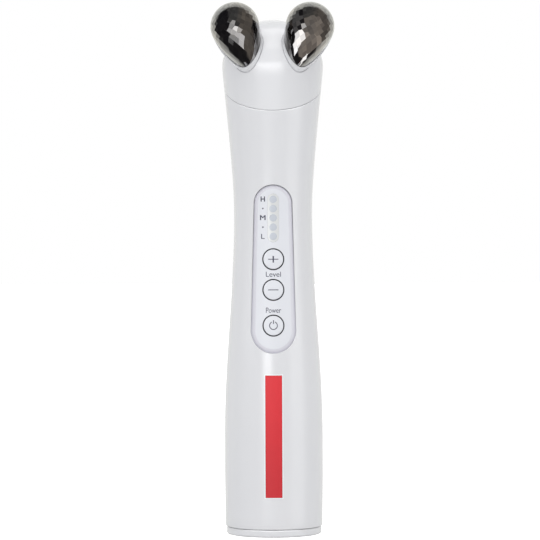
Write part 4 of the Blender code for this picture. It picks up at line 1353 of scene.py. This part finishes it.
# a CAD node takes the finish whose longest word its name holds
cadFinishes = {
    "frameGrey": ("roller_sleeve", "head_frame", "inner_frame"),
    "softRubber": ("axle_seal", "base_seal"),
    "turnedSteel": ("axle", "head_screw", "frame_screw"),
    "goldBrass": ("contact_tag", "charge_contact"),
    "leadRed": ("electrode_lead", "battery_lead_positive"),
    "leadBlack": ("battery_lead_negative", "charge_cable"),
    "batteryWrap": ("battery",),
    "boardGreen": ("charge_board", "main_board"),
    "ferrite": ("output_transformer",),
    "chipBlack": ("control_chip", "_switch"),
    "ledLamp": ("level_led",),
    "keypadGrey": ("light_shield",),
    "darkChrome": ("roller",),
    "lensFrost": ("level_lens",),
    "windowPale": ("level_window",),
    "redInlay": ("red_strip",),
    "shellWhite": ("",),
}
for nodeName, node in nodes.items():
    fitting = [(len(word), finish) for finish, words in cadFinishes.items() for word in words if word in nodeName]
    paint(node, finishes[max(fitting)[1]])

for finish, pieces in {
    "shellWhite": [frontShell, rearShell, headCover, baseCap],
    "windowPale": [levelWindow],
    "redInlay": [redStrip],
    "paleHighlightBead": [stripHighlightRim],
    "darkChrome": rollers,
    "lensFrost": lenses,
    "markInk": printedMarks,
}.items():
    for piece in pieces:
        paint(piece, finishes[finish])
paint(controlPanel, finishes["panelWhite"], finishes["keypadGrey"])
# faces behind the panel's face take the dark grey: painted shade in the joint around the panel
for face in controlPanel.data.polygons:
    x, y, z = face.center
    face.material_index = 0 if y < panelSurface(x, z) + bandSink(x, z) + panel["faceReach"] else 1
# the buttons' rolled edges, sides and flanges take the dark grey: painted shade in the ring gap around each button
for piece, height in zip(buttons, buttonHeights.values()):
    paint(piece, finishes["panelWhite"], finishes["keypadGrey"])
    toFace = panelFrame(height).inverted()
    for face in piece.data.polygons:
        face.material_index = 1 if (toFace @ face.center).z < -button["edge"] * 0.95 else 0
print("6 finishes on", len(nodes), "CAD nodes and the new pieces")


# Floor, background, lamps and camera

studio = {
    "floorSize": 4.0,
    "floorTone": (0.82, 0.82, 0.82),
    "ambient": 0.83,
    "ambientFall": 0.15,  # how much paler the air is in front than at the sides
    "warmth": (1.0, 0.87, 0.76),
    "lampReach": 2.5,
    "airTone": (0.98, 0.99, 1),
    "floorGlow": 0.80,
    "mirrored": {  # what the chrome shows to the left, in front, to the right, below and behind
        "left": (0.018, 0.017, 0.019),
        "front": (0.078, 0.077, 0.075),
        "right": (0.145, 0.130, 0.115),
        "below": (0.020, 0.019, 0.020),
        "behind": (0.95, 0.955, 0.90),
    },
    # the shares of the way out at which each of them begins and is whole
    "begins": {"front": (-0.50, -0.40), "right": (0.05, 0.60), "below": (-0.80, -0.90), "behind": (0.16, 0.40, 1)},
    "behindSoon": 0.58,  # how much of the last is there at its middle value
    "targets": {
        "all": (0, 0, 0.10),
        "body": (0, 0, 0.09),
        "head": (0, 0, 0.175),
        "left": (-0.0130, -0.0170, 0.181),
        "right": (0.0130, -0.0170, 0.181),
    },
    # name, lights what, degrees right and up, width and height in degrees, radiance
    "lamps": (
        ("keyLamp", "all", -10, 45, 40, 40, 0.85),
        ("crownLamp", "all", 0, 75, 50, 50, 0.35),
        ("frontGloss", "body", -15, 3, 24, 20, 3.2),
        ("lowGloss", "body", -15, 7, 18, 10, 4.2),
        ("sideGloss", "body", 58, 0, 36, 26, 1.3),
        ("edgeGloss", "body", 0, 46, 150, 30, 6.0),
        ("headGloss", "head", -8, 3, 62, 22, 5.6),
        ("headBand", "head", 0, 34, 80, 34, 1.2),
        ("headTop", "head", 0, 82, 90, 62, 3.6),
        ("leftGlintHigh", "left", -18, 8, 26, 22, 0.50),
        ("leftGlintMain", "left", -10, -27, 36, 34, 0.95),
        ("leftGlintPale", "left", 12, -12, 22, 24, 0.55),
        ("leftGlintDim", "left", -14, -56, 34, 16, 0.35),
        ("leftGlintLow", "left", 28, -48, 24, 22, 1.10),
        ("rightGlintWide", "right", -54, -37, 50, 26, 1.95),
        ("rightGlintHigh", "right", -36, 1, 18, 24, 0.7),
        ("rightGlintTip", "right", 130, -84, 26, 14, 1.9),
        ("rightWarmthLow", "right", 20, -62, 80, 44, 0.27),
        ("rightShade", "right", -75, 15, 50, 60, 0.09),
        ("rightWarmth", "right", 15, 0, 90, 100, 0.155),
    ),
}


def aimedAt(place, aim, roll=0):
    turn = (Vector(aim) - Vector(place)).to_track_quat("-Z", "Y").to_matrix().to_4x4()
    return Matrix.Translation(place) @ turn @ Matrix.Rotation(roll, 4, "Z")


def lampGroup(name, members, state="INCLUDE"):
    # the rollers mirror their own soft boxes, which the white shells don't see
    group = bpy.data.collections.new(name)
    for member in members:
        group.objects.link(member)
    for entry in group.collection_objects:
        entry.light_linking.link_state = state
    return group


lampGroups = {
    "all": lampGroup("allButRollers", rollers, "EXCLUDE"),
    "body": lampGroup("allButHead", rollers + [headCover], "EXCLUDE"),
    "head": lampGroup("headAlone", [headCover]),
    "left": lampGroup("leftRollerOnly", rollers[:1]),
    "right": lampGroup("rightRollerOnly", rollers[1:]),
}


def rayKinds(graph):
    # whether a ray goes straight to the eye, and whether a glossy surface sends it
    seen, mirrored, straight = [graph.add("ShaderNodeLightPath", output=kind) for kind in (0, 3, 4)]
    return graph.maths("MINIMUM", seen + straight, 1.0), mirrored


def buildFloor():
    # it glows white for the camera, and glossy surfaces don't see it
    bpy.ops.mesh.primitive_plane_add(size=studio["floorSize"], location=(0, 0, 0))
    floor = named("studioFloor")
    material = bpy.data.materials.new("paleFloor")
    material.use_nodes = True
    graph = Graph(material.node_tree)
    seen, mirrored = rayKinds(graph)
    place = graph.add("ShaderNodeTexCoord", output=3)
    cloud = graph.noise(place, 6, 2)
    tone = graph.mix(cloud, studio["floorTone"], tuple(c * 0.985 for c in studio["floorTone"]))
    matt = graph.add("ShaderNodeBsdfDiffuse", {"Color": tone})
    glow = graph.add("ShaderNodeEmission", {"Color": (1, 1, 1), "Strength": seen * studio["floorGlow"]})
    both = graph.add("ShaderNodeAddShader", {0: matt, 1: glow})
    whole = graph.blend(mirrored, both, graph.add("ShaderNodeBsdfTransparent"))
    graph.add("ShaderNodeOutputMaterial", {"Surface": whole})
    paint(floor, material)


def buildAir():
    # white for the camera, a dim room by direction for glossy rays, soft light for the rest
    world = bpy.data.worlds.new("studioAir")
    bpy.context.scene.world = world
    world.use_nodes = True
    graph = Graph(world.node_tree)
    seen, mirrored = rayKinds(graph)
    facing = graph.add("ShaderNodeTexCoord", output=0)
    x, y, z = graph.split(facing)
    room, begins, soon = studio["mirrored"], studio["begins"], studio["behindSoon"]
    drift = graph.noise(facing, 5.0, 3) - 0.5
    side = x + drift * 0.25
    front = graph.mix(graph.remap(side, *begins["front"]), room["left"], room["front"])
    front = graph.mix(graph.remap(side, *begins["right"]), front, room["right"])
    front = graph.mix(graph.remap(z, *begins["below"]), front, room["below"])
    depth = y + drift * 0.16
    near, middle, far = begins["behind"]
    behind = graph.remap(depth, near, middle, 0, soon) + graph.remap(depth, middle, far, 0, 1 - soon)
    reflected = graph.mix(behind, front, room["behind"])
    background = graph.add("ShaderNodeBackground", {"Color": (1, 1, 1)})
    mirror = graph.add("ShaderNodeBackground", {"Color": reflected})
    level = y * -studio["ambientFall"] + studio["ambient"]
    ambient = graph.add("ShaderNodeBackground", {"Color": studio["airTone"], "Strength": level})
    air = graph.blend(seen, graph.blend(mirrored, ambient, mirror), background)
    graph.add("ShaderNodeOutputWorld", {"Surface": air})


def addLamp(name, target, side, rise, width, height, radiance):
    # a soft box seen from its target at an angle to the front and above, and as wide and high as said;
    # all but those that light the whole device show as gloss alone
    side, rise = radians(side), radians(rise)
    reach, centre = studio["lampReach"], Vector(studio["targets"][target])
    ahead = Vector((sin(side) * cos(rise), -cos(side) * cos(rise), sin(rise)))
    bpy.ops.object.light_add(type="AREA")
    lamp = named(name)
    lamp.data.shape = "RECTANGLE"
    lamp.data.size = 2 * reach * tan(radians(width / 2))
    lamp.data.size_y = 2 * reach * tan(radians(height / 2))
    lamp.data.energy = radiance * lamp.data.size * lamp.data.size_y * pi
    lamp.matrix_world = aimedAt(centre + ahead * reach, centre)
    lamp.light_linking.receiver_collection = lampGroups[target]
    lamp.visible_diffuse = target == "all"
    if "Warmth" in name:
        lamp.data.color = studio["warmth"]


view = {
    "place": (0, -1.5, 0.16),
    "aim": (-0.0012, 0, 0.09663),
    "lens": 273.4,
    "roll": radians(-0.2),
}


def buildCamera():
    bpy.ops.object.camera_add()
    camera = named("photoCamera")
    camera.data.lens = view["lens"]
    camera.data.sensor_width = 36
    camera.data.sensor_fit = "HORIZONTAL"
    camera.data.clip_start = 0.01
    camera.data.clip_end = 20
    camera.matrix_world = aimedAt(view["place"], view["aim"], view["roll"])
    bpy.context.scene.camera = camera
    bpy.context.scene.view_settings.view_transform = "Standard"


buildFloor()
buildAir()
for row in studio["lamps"]:
    addLamp(*row)
buildCamera()
deselectAll()
print("7 studio and camera")
